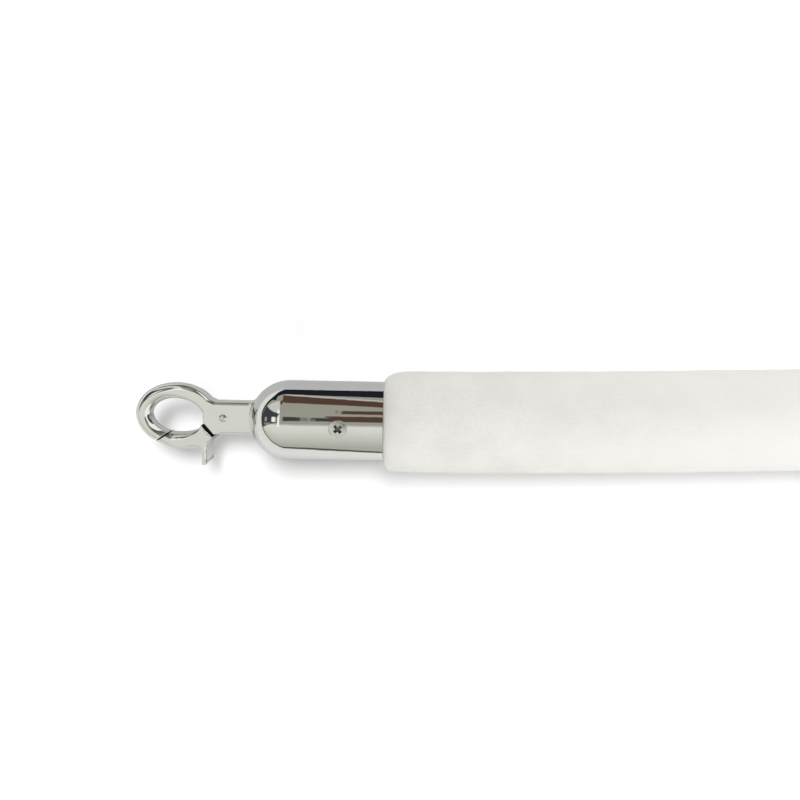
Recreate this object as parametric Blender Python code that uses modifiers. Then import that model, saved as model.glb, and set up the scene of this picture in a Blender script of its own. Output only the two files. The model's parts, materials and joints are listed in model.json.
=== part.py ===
"""Velvet barrier rope with a sprung snap hook on each end, put away as a tied hank.

Metres, +Z up. The rope lies on the floor plane z = 0. The origin is on that plane, under the rope,
a little way in from the fitting of end A, whose hook points along -X.

Each end fitting is drawn once in its own frame: x runs along the ferrule towards the rope with
x = 0 at the ferrule's mouth, y runs across the hook and z is square to the hook's flat faces.
"""
import math

import bmesh
import bpy
import numpy as np
from mathutils import Euler, Matrix, Vector

# Rope
ROPE_DIAMETER = 0.0320
ROPE_FLAT_DEPTH = 0.0032
ROPE_END_ROUND = 0.0045
ROPE_END_FACE_INSET = 0.0004
ROPE_END_SHARES = (0.0, 0.08, 0.28, 0.6)
STRAIGHT_LENGTH = 0.1650
STRAIGHT_STEP = 0.0360
HANK_STEP = 0.0270
ROPE_ROUTE = [
    (-0.0397, 0.000), (-0.015, 0.0002), (0.015, 0.0008), (0.050, 0.0017), (0.090, 0.0030),
    (0.130, 0.0040), (0.180, 0.0046), (0.240, 0.0047), (0.300, 0.0047), (0.350, 0.0047),
    (0.392, 0.0044), (0.428, -0.002), (0.459, -0.019), (0.480, -0.040), (0.512, -0.065),
    (0.552, -0.0785), (0.594, -0.073), (0.631, -0.0495), (0.654, -0.014), (0.660, 0.0215),
    (0.654, 0.057), (0.631, 0.0925), (0.594, 0.116), (0.552, 0.1215), (0.512, 0.108),
    (0.480, 0.083), (0.459, 0.062), (0.428, 0.045), (0.392, 0.0386), (0.350, 0.0383),
    (0.300, 0.0383), (0.250, 0.0383), (0.215, 0.0383), (0.1903, 0.0383),
]

# Tie round the two runs of the hank
TIE_X = 0.2950
TIE_WIDTH = 0.0220
TIE_THICKNESS = 0.0012

# Ferrule, a domed cup over the end of the rope's core
FERRULE_DIAMETER = 0.0248
FERRULE_LENGTH = 0.0415
FERRULE_WALL = 0.0014
FERRULE_RIM_ROUND = 0.0003

# Hook: a flat shank that runs into a round-bar ring
SHANK_WIDTH = 0.0103
SHANK_OFFSET = 0.0005
SHANK_THICKNESS = 0.0048
SHANK_EDGE_ROUND = 0.0010
NOSE_CUT_LEAD = 0.0014
RING_FROM_POLE = 0.02295
RING_OFFSET = 0.00125
RING_LENGTH = 0.0253
RING_HEIGHT = 0.0204
BAR_DIAMETER = 0.0050
EYE_LENGTH = 0.0170
EYE_HEIGHT = 0.0111
EYE_SHIFT_X = 0.0006
EYE_SHIFT_Y = -0.00035
BAR_ROOT_ANGLE = math.radians(35)
FLAT_OUTER_ANGLE = math.radians(72)
FLAT_TIP_ANGLE = math.radians(98)
FLAT_INNER_ANGLE = math.radians(70)
EYE_FOOT_ANGLE = math.radians(-30)

# Gate, its lever and its pivot
PIN_FROM_POLE = 0.0081
PIN_OFFSET = 0.0006
PIN_DIAMETER = 0.0023
PIN_RECESS = 0.00015
NOSE_RADIUS = 0.0062
NOSE_ANGLE = math.radians(199)
GATE_GAP = 0.0012
GATE_EDGE_ROUND = 0.0011
JOINT_ANGLE = math.radians(243)
JOINT_SLANT = math.radians(41)
GATE_INNER_START = math.radians(-12)
GATE_INNER_END = math.radians(-150)
GATE_OUTER_START = math.radians(214)
GATE_OUTER_END = math.radians(288)
LEVER_WIDTH = 0.0022
LEVER_DEPTH = 0.0045
LEVER_TIP = -0.0147
LEVER_FROM_PIN = 0.0065
LEVER_EDGE_ROUND = 0.0003
TONGUE_THICKNESS = 0.0012
TONGUE_WIDTH = 0.0026
KNUCKLE_RADIUS = 0.0022
SLOT_WIDTH = 0.0030
SLOT_CLEARANCE = 0.0012
GATE_SWING = math.radians(25)

# Torsion spring round the pin
SPRING_WIRE = 0.00035
SPRING_RADIUS = 0.0016
SPRING_RISE = 0.0009
SPRING_SHORT_LEG = 0.0026
SPRING_LONG_LEG = 0.0056
SPRING_START_ANGLE = math.radians(90)
SPRING_END_ANGLE = math.radians(491)

# Stem fixing inside the dome
STEM_DIAMETER = 0.0040
STEM_ROOT = 0.0030
WASHER_DIAMETER = 0.0090
WASHER_THICKNESS = 0.0008
NUT_ACROSS_FLATS = 0.0070
NUT_THICKNESS = 0.0032
STEM_PAST_NUT = 0.0012

# Core plug and its two screws
PLUG_LENGTH = 0.0250
PLUG_CHAMFER = 0.0010
SCREW_FROM_MOUTH = 0.0129
SCREW_LEAN = math.radians(-2.3)
SCREW_HEAD_DIAMETER = 0.0052
SCREW_DIAMETER = 0.0029
SCREW_LENGTH = 0.0080
SCREW_HEAD_SINK = 0.00005
RECESS_WIDTH = 0.0007
RECESS_SPAN = 0.0030
RECESS_DEPTH = 0.0010
RECESS_TURN = math.radians(42)

# Fits
CONTACT_GAP = 0.0003
RUNNING_CLEARANCE = 0.00005
SIDE_CLEARANCE = 0.00015

# The two end fittings: the rope end that each one takes and its roll about the rope
END_POSES = {
    "a": (ROPE_ROUTE[0], math.radians(12)),
    "b": (ROPE_ROUTE[-1], math.radians(192)),
}

# Values worked out from the sizes above
AXIS_HEIGHT = ROPE_DIAMETER / 2 - ROPE_FLAT_DEPTH
FERRULE_RADIUS = FERRULE_DIAMETER / 2
FERRULE_INNER = FERRULE_RADIUS - FERRULE_WALL
POLE_X = -FERRULE_LENGTH
DOME_X = POLE_X + FERRULE_RADIUS
RING_CENTRE = Vector((POLE_X - RING_FROM_POLE, RING_OFFSET))
EYE_CENTRE = RING_CENTRE + Vector((EYE_SHIFT_X, EYE_SHIFT_Y))
PIN = Vector((POLE_X - PIN_FROM_POLE, PIN_OFFSET))
SHANK_TOP = SHANK_OFFSET + SHANK_WIDTH / 2
SHANK_BOTTOM = SHANK_OFFSET - SHANK_WIDTH / 2
WASHER_SEAT_RADIUS = WASHER_DIAMETER / 2 + CONTACT_GAP
SEAT_X = DOME_X - math.sqrt(FERRULE_INNER**2 - WASHER_SEAT_RADIUS**2)
WASHER_X = SEAT_X + CONTACT_GAP
NUT_X = WASHER_X + WASHER_THICKNESS + CONTACT_GAP
STEM_END_X = NUT_X + NUT_THICKNESS + STEM_PAST_NUT
SCREW_X = -SCREW_FROM_MOUTH
HEAD_HEIGHT = (SCREW_HEAD_DIAMETER - SCREW_DIAMETER) / 2

# Facet counts, and sizes that only serve the cutting and joining
TURN_STEPS = 36
SMALL_TURN_STEPS = 20
NUT_SIDES = 6
DOME_STEPS = 9
DOME_INNER_STEPS = 6
ELLIPSE_STEPS = 14
TIE_STEPS = 10
POCKET_STEPS = 18
MOUTH_STEPS = 6
SPRING_STEPS = 14
ROUTE_SAMPLES = 60
EDGE_RESOLUTION = 2
ROPE_RESOLUTION = 4
BAR_RESOLUTION = 5
SPRING_RESOLUTION = 1
SHARP_EDGE = math.radians(35)
WELD_DISTANCE = 0.000001
CUTTER_SIZE = 0.020
GROOVE_REACH = 0.200
FLOOR_REACH = 4.0


# Scene and collections

for old in list(bpy.data.objects):
    bpy.data.objects.remove(old, do_unlink=True)

parts = bpy.data.collections.new("barrier_rope")
cutters = bpy.data.collections.new("cutters")
bpy.context.scene.collection.children.link(parts)
bpy.context.scene.collection.children.link(cutters)


def material(name, colour, metallic, roughness):
    """A plain Principled material."""
    made = bpy.data.materials.new(name)
    made.use_nodes = True
    shader = made.node_tree.nodes["Principled BSDF"]
    shader.inputs["Base Color"].default_value = (*colour, 1.0)
    shader.inputs["Metallic"].default_value = metallic
    shader.inputs["Roughness"].default_value = roughness
    return made


CHROME = material("polished_chrome", (0.80, 0.80, 0.77), 1.0, 0.06)
GATE_CHROME = material("gate_chrome", (0.78, 0.78, 0.75), 1.0, 0.10)
STEEL = material("plated_steel", (0.62, 0.62, 0.60), 1.0, 0.25)
SPRING_STEEL = material("spring_steel", (0.45, 0.45, 0.46), 1.0, 0.30)
WOOD = material("core_plug_wood", (0.56, 0.40, 0.24), 0.0, 0.75)
VELVET = material("white_velvet", (0.86, 0.85, 0.80), 0.0, 0.95)
TAPE = material("tie_tape", (0.78, 0.77, 0.73), 0.0, 0.85)


# Making and joining meshes

def add_object(name, data, collection=cutters):
    """Link new object data into a collection."""
    made = bpy.data.objects.new(name, data)
    collection.objects.link(made)
    return made


def evaluated_mesh(source):
    """The mesh that an object's curve or modifiers make, with its caps welded."""
    graph = bpy.context.evaluated_depsgraph_get()
    mesh = bpy.data.meshes.new_from_object(source.evaluated_get(graph))
    soup = bmesh.new()
    soup.from_mesh(mesh)
    bmesh.ops.remove_doubles(soup, verts=soup.verts, dist=WELD_DISTANCE)
    bmesh.ops.recalc_face_normals(soup, faces=soup.faces)
    soup.to_mesh(mesh)
    soup.free()
    return mesh


def as_mesh(source):
    """Replace a curve object, or one with modifiers, by a plain mesh object in the same place."""
    mesh = evaluated_mesh(source)
    made = add_object(source.name + "_mesh", mesh)
    made.matrix_world = source.matrix_world.copy()
    bpy.data.objects.remove(source, do_unlink=True)
    return made


def combine(target, operation, other):
    """Join to, or cut from, a mesh object and use up the other one."""
    modifier = target.modifiers.new(operation.lower(), "BOOLEAN")
    modifier.operation = operation
    modifier.object = other
    modifier.solver = "EXACT"
    made = as_mesh(target)
    bpy.data.objects.remove(other, do_unlink=True)
    return made


def join(target, other):
    """Boolean union."""
    return combine(target, "UNION", other)


def cut(target, other):
    """Boolean difference."""
    return combine(target, "DIFFERENCE", other)


def box(size, centre, turn=0.0):
    """A block turned about Z."""
    shape = bmesh.new()
    bmesh.ops.create_cube(shape, size=1.0)
    place = Matrix.Translation(centre) @ Matrix.Rotation(turn, 4, "Z") @ Matrix.Diagonal((*size, 1.0))
    bmesh.ops.transform(shape, matrix=place, verts=shape.verts)
    mesh = bpy.data.meshes.new("box")
    shape.to_mesh(mesh)
    shape.free()
    return add_object("box", mesh)


def rod(radius, start, end, axis="X", steps=SMALL_TURN_STEPS, end_radius=None, centre=(0.0, 0.0)):
    """A round bar or cone along X or Z from start to end."""
    shape = bmesh.new()
    last = radius if end_radius is None else end_radius
    length = end - start
    bmesh.ops.create_cone(shape, cap_ends=True, segments=steps, radius1=radius, radius2=last, depth=length)
    bmesh.ops.translate(shape, vec=(0, 0, start + length / 2), verts=shape.verts)
    if axis == "X":
        bmesh.ops.rotate(shape, matrix=Matrix.Rotation(math.pi / 2, 3, "Y"), verts=shape.verts)
        bmesh.ops.translate(shape, vec=(0, centre[0], centre[1]), verts=shape.verts)
    else:
        bmesh.ops.translate(shape, vec=(centre[0], centre[1], 0), verts=shape.verts)
    mesh = bpy.data.meshes.new("rod")
    shape.to_mesh(mesh)
    shape.free()
    return add_object("rod", mesh)


def turned(profile, closed, steps=TURN_STEPS):
    """A shape turned about X from (x, radius) points that run down the outer side, mouth to pole."""
    mesh = bpy.data.meshes.new("profile")
    points = [(radius, 0.0, x) for x, radius in profile]
    edges = [(i, i + 1) for i in range(len(points) - 1)]
    if closed:
        edges.append((len(points) - 1, 0))
    mesh.from_pydata(points, edges, [])
    made = add_object("turned", mesh)
    screw = made.modifiers.new("screw", "SCREW")
    screw.axis = "Z"
    screw.steps = steps
    screw.render_steps = steps
    screw.use_merge_vertices = True
    screw.merge_threshold = WELD_DISTANCE
    made = as_mesh(made)
    made.data.transform(Matrix.Rotation(math.pi / 2, 4, "Y"))
    return made


def plate(outline, thickness, edge_round=0.0, centre_z=0.0):
    """A flat outline with thickness, its edges rounded inside the outline."""
    curve = bpy.data.curves.new("outline", "CURVE")
    curve.dimensions = "2D"
    curve.fill_mode = "BOTH"
    curve.extrude = thickness / 2 - edge_round
    curve.bevel_depth = edge_round
    curve.bevel_resolution = EDGE_RESOLUTION
    curve.offset = -edge_round
    spline = curve.splines.new("POLY")
    spline.points.add(len(outline) - 1)
    for point, place in zip(spline.points, outline):
        point.co = (place[0], place[1], 0.0, 1.0)
    spline.use_cyclic_u = True
    made = as_mesh(add_object("outline", curve))
    made.data.transform(Matrix.Translation((0, 0, centre_z)))
    return made


def tube(points, diameter, resolution, radii=None, up="MINIMUM"):
    """A round tube along points, with filled caps."""
    curve = bpy.data.curves.new("tube", "CURVE")
    curve.dimensions = "3D"
    curve.fill_mode = "FULL"
    curve.bevel_depth = diameter / 2
    curve.bevel_resolution = resolution
    curve.use_fill_caps = True
    curve.twist_mode = up
    spline = curve.splines.new("POLY")
    spline.points.add(len(points) - 1)
    for index, place in enumerate(points):
        spline.points[index].co = (*place, 1.0)
        spline.points[index].radius = 1.0 if radii is None else radii[index]
    return as_mesh(add_object("tube", curve))


def finish(name, shape, paint, parent=None, location=(0, 0, 0)):
    """Make a named part from a shape's mesh, in its material, under its parent."""
    mesh = shape.data
    mesh.materials.clear()
    mesh.materials.append(paint)
    mesh.shade_smooth()
    mesh.set_sharp_from_angle(angle=SHARP_EDGE)
    made = add_object(name, mesh, parts)
    made.parent = parent
    made.location = location


# Curves and outlines

def arc(centre, length, height, start, end, steps=ELLIPSE_STEPS):
    """Points of an ellipse between two angles."""
    angles = np.linspace(start, end, steps + 1)
    return [(centre[0] + length / 2 * math.cos(t), centre[1] + height / 2 * math.sin(t)) for t in angles]


def smooth_route(points):
    """Places and running lengths along a natural cubic curve through the route's own points."""
    knots = np.array(points, dtype=float)
    chord = np.linalg.norm(np.diff(knots, axis=0), axis=1)
    count = len(knots)
    matrix = np.eye(count)
    right = np.zeros_like(knots)
    for i in range(1, count - 1):
        matrix[i, i - 1:i + 2] = chord[i - 1], 2 * (chord[i - 1] + chord[i]), chord[i]
        slope_after = (knots[i + 1] - knots[i]) / chord[i]
        slope_before = (knots[i] - knots[i - 1]) / chord[i - 1]
        right[i] = 6 * (slope_after - slope_before)
    bend = np.linalg.solve(matrix, right)
    places = []
    for i in range(count - 1):
        for f in np.linspace(0, 1, ROUTE_SAMPLES, endpoint=(i == count - 2)):
            a, b, h = 1 - f, f, chord[i]
            curve = (a**3 - a) * bend[i] + (b**3 - b) * bend[i + 1]
            places.append(a * knots[i] + b * knots[i + 1] + curve * h * h / 6)
    places = np.array(places)
    run = np.concatenate([[0.0], np.cumsum(np.linalg.norm(np.diff(places, axis=0), axis=1))])
    return places, run


def from_pin(angle, distance):
    """The point at an angle and a distance from the pin."""
    return PIN + Vector((math.cos(angle), math.sin(angle))) * distance


NOSE_START = from_pin(NOSE_ANGLE, NOSE_RADIUS)
NOSE_END = Vector((PIN.x - math.sqrt(NOSE_RADIUS**2 - (PIN.y - SHANK_BOTTOM)**2), SHANK_BOTTOM))
NOSE_RUN = (NOSE_END - NOSE_START).normalized()
NOSE_OUT = Vector((NOSE_RUN.y, -NOSE_RUN.x))
NOSE_TURN = math.atan2(NOSE_RUN.y, NOSE_RUN.x)
TONGUE_ANGLE = math.atan2(NOSE_OUT.y, NOSE_OUT.x)
JOINT = Vector(arc(RING_CENTRE, RING_LENGTH - BAR_DIAMETER, RING_HEIGHT - BAR_DIAMETER,
                   JOINT_ANGLE, JOINT_ANGLE, 1)[0])
JOINT_OUT = Vector((math.sin(JOINT_SLANT), -math.cos(JOINT_SLANT)))


def side_block(point, out, turn, reach=CUTTER_SIZE):
    """A block with one face through a point, on the side that a direction points to."""
    middle = point + out * reach / 2
    return box((reach, reach, reach), (middle.x, middle.y, 0.0), turn)


def shank_outline():
    """The flat of the hook: shank, run into the dome, and the flat side of the ring."""
    outer_start = math.asin((SHANK_TOP - RING_CENTRE.y) / (RING_HEIGHT / 2))
    tip = arc(RING_CENTRE, RING_LENGTH - BAR_DIAMETER, RING_HEIGHT - BAR_DIAMETER,
              FLAT_TIP_ANGLE, FLAT_TIP_ANGLE, 1)[:1]
    outer = arc(RING_CENTRE, RING_LENGTH, RING_HEIGHT, outer_start, FLAT_OUTER_ANGLE)
    eye = arc(EYE_CENTRE, EYE_LENGTH, EYE_HEIGHT, FLAT_INNER_ANGLE, EYE_FOOT_ANGLE)
    heel = (NOSE_END.x - BAR_DIAMETER / 2, SHANK_BOTTOM)
    return [(DOME_X, SHANK_TOP)] + outer + tip + eye + [heel, (DOME_X, SHANK_BOTTOM)]


def slot_outline():
    """The pocket for the gate's tongue: round the pin and open over the tongue's swing."""
    half = TONGUE_WIDTH / 2 + CONTACT_GAP
    pocket = KNUCKLE_RADIUS + SLOT_CLEARANCE
    lean = math.asin(half / pocket)
    reach = 2 * NOSE_RADIUS
    spread = math.asin(half / reach)
    shut = TONGUE_ANGLE
    opened = TONGUE_ANGLE + GATE_SWING
    outline = [from_pin(a, pocket) for a in np.linspace(opened + lean, shut - lean + 2 * math.pi, POCKET_STEPS)]
    outline += [from_pin(a, reach) for a in np.linspace(shut - spread, opened + spread, MOUTH_STEPS)]
    return [tuple(point) for point in outline]


def tongue_outline():
    """A round knuckle on the pin with a straight tongue into the gate."""
    half = TONGUE_WIDTH / 2
    lean = math.asin(half / KNUCKLE_RADIUS)
    along = Vector((math.cos(TONGUE_ANGLE), math.sin(TONGUE_ANGLE)))
    across = Vector((-along.y, along.x))
    reach = (NOSE_START - PIN).dot(along) + GATE_GAP + GATE_EDGE_ROUND
    end = PIN + along * reach
    angles = np.linspace(TONGUE_ANGLE + lean, TONGUE_ANGLE + 2 * math.pi - lean, POCKET_STEPS)
    outline = [tuple(from_pin(a, KNUCKLE_RADIUS)) for a in angles]
    return outline + [tuple(end - across * half), tuple(end + across * half)]


# Parts of one end fitting, each drawn once and shared by both ends

def make_hook():
    """Ring, shank and stem in one piece, with the gate's slot and the pin hole."""
    body = plate(shank_outline(), SHANK_THICKNESS, SHANK_EDGE_ROUND)
    dome = bmesh.new()
    bmesh.ops.create_uvsphere(dome, u_segments=TURN_STEPS, v_segments=TURN_STEPS // 2,
                              radius=FERRULE_RADIUS + CONTACT_GAP)
    bmesh.ops.rotate(dome, matrix=Matrix.Rotation(math.pi / 2, 3, "Y"), verts=dome.verts)
    bmesh.ops.translate(dome, vec=(DOME_X, 0, 0), verts=dome.verts)
    mesh = bpy.data.meshes.new("dome")
    dome.to_mesh(mesh)
    dome.free()
    body = cut(body, add_object("dome", mesh))
    nose_middle = NOSE_START + NOSE_RUN * (CUTTER_SIZE / 2 - NOSE_CUT_LEAD)
    body = cut(body, side_block(nose_middle, NOSE_OUT, NOSE_TURN))
    bar = arc(RING_CENTRE, RING_LENGTH - BAR_DIAMETER, RING_HEIGHT - BAR_DIAMETER,
              BAR_ROOT_ANGLE, GATE_OUTER_END, 2 * ELLIPSE_STEPS)
    ring = tube([(x, y, 0.0) for x, y in bar], BAR_DIAMETER, BAR_RESOLUTION, up="Z_UP")
    ring = cut(ring, side_block(JOINT, JOINT_OUT, JOINT_SLANT))
    body = join(body, ring)
    stem_root = DOME_X - FERRULE_RADIUS - STEM_ROOT
    body = join(body, rod(STEM_DIAMETER / 2, stem_root, STEM_END_X))
    body = cut(body, plate(slot_outline(), SLOT_WIDTH))
    hole = rod(PIN_DIAMETER / 2 + RUNNING_CLEARANCE, -SHANK_THICKNESS, SHANK_THICKNESS, "Z", centre=PIN)
    return cut(body, hole)


def make_gate():
    """Gate bar, thumb lever and tongue in one piece."""
    inner = arc(EYE_CENTRE, EYE_LENGTH, EYE_HEIGHT, GATE_INNER_START, GATE_INNER_END)
    outer = arc(RING_CENTRE, RING_LENGTH, RING_HEIGHT, GATE_OUTER_START, GATE_OUTER_END)
    corner = NOSE_END + NOSE_OUT * GATE_GAP
    lever_left = PIN.x - LEVER_FROM_PIN - LEVER_WIDTH / 2
    heel = (lever_left + LEVER_WIDTH, outer[-1][1] + LEVER_EDGE_ROUND)
    past_corner = corner - NOSE_OUT * NOSE_RADIUS
    gate = plate(inner + outer + [heel, tuple(corner), tuple(past_corner)], SHANK_THICKNESS, GATE_EDGE_ROUND)
    gate = cut(gate, side_block(JOINT + JOINT_OUT * CONTACT_GAP, -JOINT_OUT, JOINT_SLANT))
    gate = cut(gate, side_block(NOSE_START + NOSE_OUT * GATE_GAP, -NOSE_OUT, NOSE_TURN))
    lever_top = (heel[1] + EYE_CENTRE.y - EYE_HEIGHT / 2) / 2
    lever_size = (LEVER_WIDTH, lever_top - LEVER_TIP, LEVER_DEPTH)
    lever = box(lever_size, (lever_left + LEVER_WIDTH / 2, (lever_top + LEVER_TIP) / 2, 0.0))
    bevel = lever.modifiers.new("edges", "BEVEL")
    bevel.width = LEVER_EDGE_ROUND
    bevel.segments = EDGE_RESOLUTION
    gate = join(gate, as_mesh(lever))
    tongue_z = SLOT_WIDTH / 2 - SIDE_CLEARANCE - TONGUE_THICKNESS / 2
    gate = join(gate, plate(tongue_outline(), TONGUE_THICKNESS, centre_z=tongue_z))
    hole = rod(PIN_DIAMETER / 2 + RUNNING_CLEARANCE, -SHANK_THICKNESS, SHANK_THICKNESS, "Z", centre=PIN)
    gate = cut(gate, hole)
    gate.data.transform(Matrix.Translation((-PIN.x, -PIN.y, 0)))
    return gate


def make_pin():
    """Pivot pin, a little below flush at both ends."""
    half = SHANK_THICKNESS / 2 - PIN_RECESS
    return rod(PIN_DIAMETER / 2, -half, half, "Z", centre=PIN)


def make_spring():
    """One-turn torsion spring beside the tongue, with a short fixed leg and a long gate leg."""
    low = -SLOT_WIDTH / 2 + SIDE_CLEARANCE + SPRING_WIRE / 2
    turn = np.linspace(SPRING_START_ANGLE, SPRING_END_ANGLE, SPRING_STEPS)
    coil = [(*from_pin(a, SPRING_RADIUS), low + SPRING_RISE * i / (len(turn) - 1)) for i, a in enumerate(turn)]

    def leg(angle, length):
        at = from_pin(angle, SPRING_RADIUS)
        return (at.x - length * math.sin(angle), at.y + length * math.cos(angle))

    short_leg = (*leg(SPRING_START_ANGLE, -SPRING_SHORT_LEG), low)
    long_leg = (*leg(SPRING_END_ANGLE, SPRING_LONG_LEG), low + SPRING_RISE)
    return tube([short_leg] + coil + [long_leg], SPRING_WIRE, SPRING_RESOLUTION)


def make_ferrule():
    """Domed cup with a flat seat inside its pole and two countersunk screw holes."""
    stem_hole = STEM_DIAMETER / 2 + RUNNING_CLEARANCE
    rim = FERRULE_RIM_ROUND
    outer_end = math.acos(stem_hole / FERRULE_RADIUS)
    seat = math.acos(WASHER_SEAT_RADIUS / FERRULE_INNER)
    profile = [(0.0, FERRULE_RADIUS - rim), (-rim, FERRULE_RADIUS)]
    for a in np.linspace(0, outer_end, DOME_STEPS):
        profile.append((DOME_X - FERRULE_RADIUS * math.sin(a), FERRULE_RADIUS * math.cos(a)))
    profile.append((SEAT_X, stem_hole))
    for a in np.linspace(seat, 0, DOME_INNER_STEPS):
        profile.append((DOME_X - FERRULE_INNER * math.sin(a), FERRULE_INNER * math.cos(a)))
    profile += [(-rim, FERRULE_INNER), (0.0, FERRULE_INNER + rim)]
    cup = turned(profile, closed=True)
    for side in (1, -1):
        cup = cut(cup, screw_space(side))
    return cup


def to_side(shape, side):
    """Turn a shape that stands on +Z about the ferrule to its screw's side, upper or lower."""
    half_turn = 0.0 if side > 0 else math.pi
    shape.data.transform(Matrix.Rotation(SCREW_LEAN + half_turn, 4, "X"))
    return shape


def screw_space(side):
    """A countersunk hole through the cup's wall and into the plug, on the upper or the lower side."""
    top = FERRULE_RADIUS - SCREW_HEAD_SINK
    hole = SCREW_DIAMETER / 2 + RUNNING_CLEARANCE
    head = SCREW_HEAD_DIAMETER / 2 + RUNNING_CLEARANCE
    low = top - SCREW_LENGTH - CONTACT_GAP
    space = rod(hole, low, top, "Z", centre=(SCREW_X, 0))
    space = join(space, rod(hole, top - HEAD_HEIGHT, top, "Z", end_radius=head, centre=(SCREW_X, 0)))
    space = join(space, rod(head, top - RUNNING_CLEARANCE, top + FERRULE_WALL, "Z", centre=(SCREW_X, 0)))
    return to_side(space, side)


def make_screw(side):
    """Countersunk screw with a cross recess."""
    top = FERRULE_RADIUS - SCREW_HEAD_SINK
    radius = SCREW_DIAMETER / 2
    tip = top - SCREW_LENGTH
    place = (SCREW_X, 0)
    screw = rod(radius, tip + radius, top - HEAD_HEIGHT / 2, "Z", centre=place)
    screw = join(screw, rod(radius, top - HEAD_HEIGHT, top, "Z", end_radius=SCREW_HEAD_DIAMETER / 2,
                            centre=place))
    screw = join(screw, rod(radius / 3, tip, tip + 2 * radius, "Z", end_radius=radius - RUNNING_CLEARANCE,
                            centre=place))
    for quarter in (0, math.pi / 2):
        slot = (RECESS_SPAN, RECESS_WIDTH, 2 * RECESS_DEPTH)
        screw = cut(screw, box(slot, (SCREW_X, 0, top), RECESS_TURN + quarter))
    return to_side(screw, side)


def make_washer():
    """Flat washer on the dome's inner seat."""
    washer = rod(WASHER_DIAMETER / 2, WASHER_X, WASHER_X + WASHER_THICKNESS)
    hole = rod(STEM_DIAMETER / 2 + RUNNING_CLEARANCE, SEAT_X - WASHER_THICKNESS, NUT_X + WASHER_THICKNESS)
    return cut(washer, hole)


def make_nut():
    """Hexagon nut that clamps the stem."""
    corner_radius = NUT_ACROSS_FLATS / math.sqrt(3)
    nut = rod(corner_radius, NUT_X, NUT_X + NUT_THICKNESS, steps=NUT_SIDES)
    hole = rod(STEM_DIAMETER / 2 + RUNNING_CLEARANCE, NUT_X - NUT_THICKNESS, NUT_X + 2 * NUT_THICKNESS)
    return cut(nut, hole)


def make_plug():
    """Turned plug on the end of the rope's core, drilled for the two screws."""
    radius = FERRULE_INNER - CONTACT_GAP
    start = -PLUG_LENGTH
    plug = rod(radius, start + PLUG_CHAMFER, 0.0, steps=TURN_STEPS)
    nose = rod(radius - PLUG_CHAMFER, start, start + PLUG_CHAMFER, steps=TURN_STEPS, end_radius=radius)
    plug = join(plug, nose)
    for side in (1, -1):
        plug = cut(plug, screw_space(side))
    return plug


# Rope, hank and tie

def route_frame():
    """The rope's route at its resting height, with running lengths."""
    places, run = smooth_route(ROPE_ROUTE)
    heights = np.full((len(places), 1), AXIS_HEIGHT)
    return np.hstack([places, heights]), run


def along_route(places, run, stations):
    """Points of the route at given running lengths."""
    return np.stack([np.interp(stations, run, places[:, axis]) for axis in range(3)], axis=1)


def end_profile(distance):
    """The rope's radius near a fitting as a share of its full radius."""
    full = ROPE_DIAMETER / 2
    face = FERRULE_RADIUS - ROPE_END_FACE_INSET
    if distance >= ROPE_END_ROUND:
        return 1.0
    lean = 1 - distance / ROPE_END_ROUND
    return (face + (full - face) * math.sqrt(1 - lean * lean)) / full


END_STATIONS = [ROPE_END_ROUND * share for share in ROPE_END_SHARES]


def rope_tube(places, run, start, end, step, round_start, round_end):
    """A stretch of rope, rounded where it meets a fitting and flat where it lies on the floor."""
    first = start + ROPE_END_ROUND if round_start else start
    last = end - ROPE_END_ROUND if round_end else end
    count = max(2, round((last - first) / step))
    stations = list(np.linspace(first, last, count + 1))
    if round_start:
        stations = [start + d for d in END_STATIONS] + stations
    if round_end:
        stations = stations + [end - d for d in reversed(END_STATIONS)]
    radii = [1.0] * len(stations)
    if round_start:
        radii = [end_profile(s - start) for s in stations]
    if round_end:
        radii = [end_profile(end - s) for s in stations]
    made = tube(along_route(places, run, stations), ROPE_DIAMETER, ROPE_RESOLUTION, radii, "Z_UP")
    floor = box((FLOOR_REACH, FLOOR_REACH, ROPE_DIAMETER), (0, 0, -ROPE_DIAMETER / 2))
    return cut(made, floor)


def tie_outline(grow, bottom):
    """Outline round the two rope runs at the tie, flat on the floor side."""
    low_run = float(np.interp(TIE_X, [p[0] for p in ROPE_ROUTE[:10]], [p[1] for p in ROPE_ROUTE[:10]]))
    back = ROPE_ROUTE[:-10:-1]
    high_run = float(np.interp(TIE_X, [p[0] for p in back], [p[1] for p in back]))
    radius = ROPE_DIAMETER / 2 + grow
    lean = math.asin((AXIS_HEIGHT - bottom) / radius)
    size = 2 * radius
    left = arc((low_run, AXIS_HEIGHT), size, size, math.pi + lean, math.pi / 2, TIE_STEPS)
    right = arc((high_run, AXIS_HEIGHT), size, size, math.pi / 2, -lean, TIE_STEPS)
    return left + right


def make_tie():
    """A band of tape round both runs."""
    curve = bpy.data.curves.new("tie", "CURVE")
    curve.dimensions = "2D"
    curve.fill_mode = "BOTH"
    curve.extrude = TIE_WIDTH / 2
    outer = tie_outline(CONTACT_GAP + TIE_THICKNESS, 0.0)
    inner = tie_outline(CONTACT_GAP, TIE_THICKNESS)
    for outline in (outer, inner):
        spline = curve.splines.new("POLY")
        spline.points.add(len(outline) - 1)
        for point, place in zip(spline.points, outline):
            point.co = (place[0], place[1], 0.0, 1.0)
        spline.use_cyclic_u = True
    band = as_mesh(add_object("tie", curve))
    turn = Euler((math.pi / 2, 0, math.pi / 2)).to_matrix().to_4x4()
    band.data.transform(Matrix.Translation((TIE_X, 0, 0)) @ turn)
    return band


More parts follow.
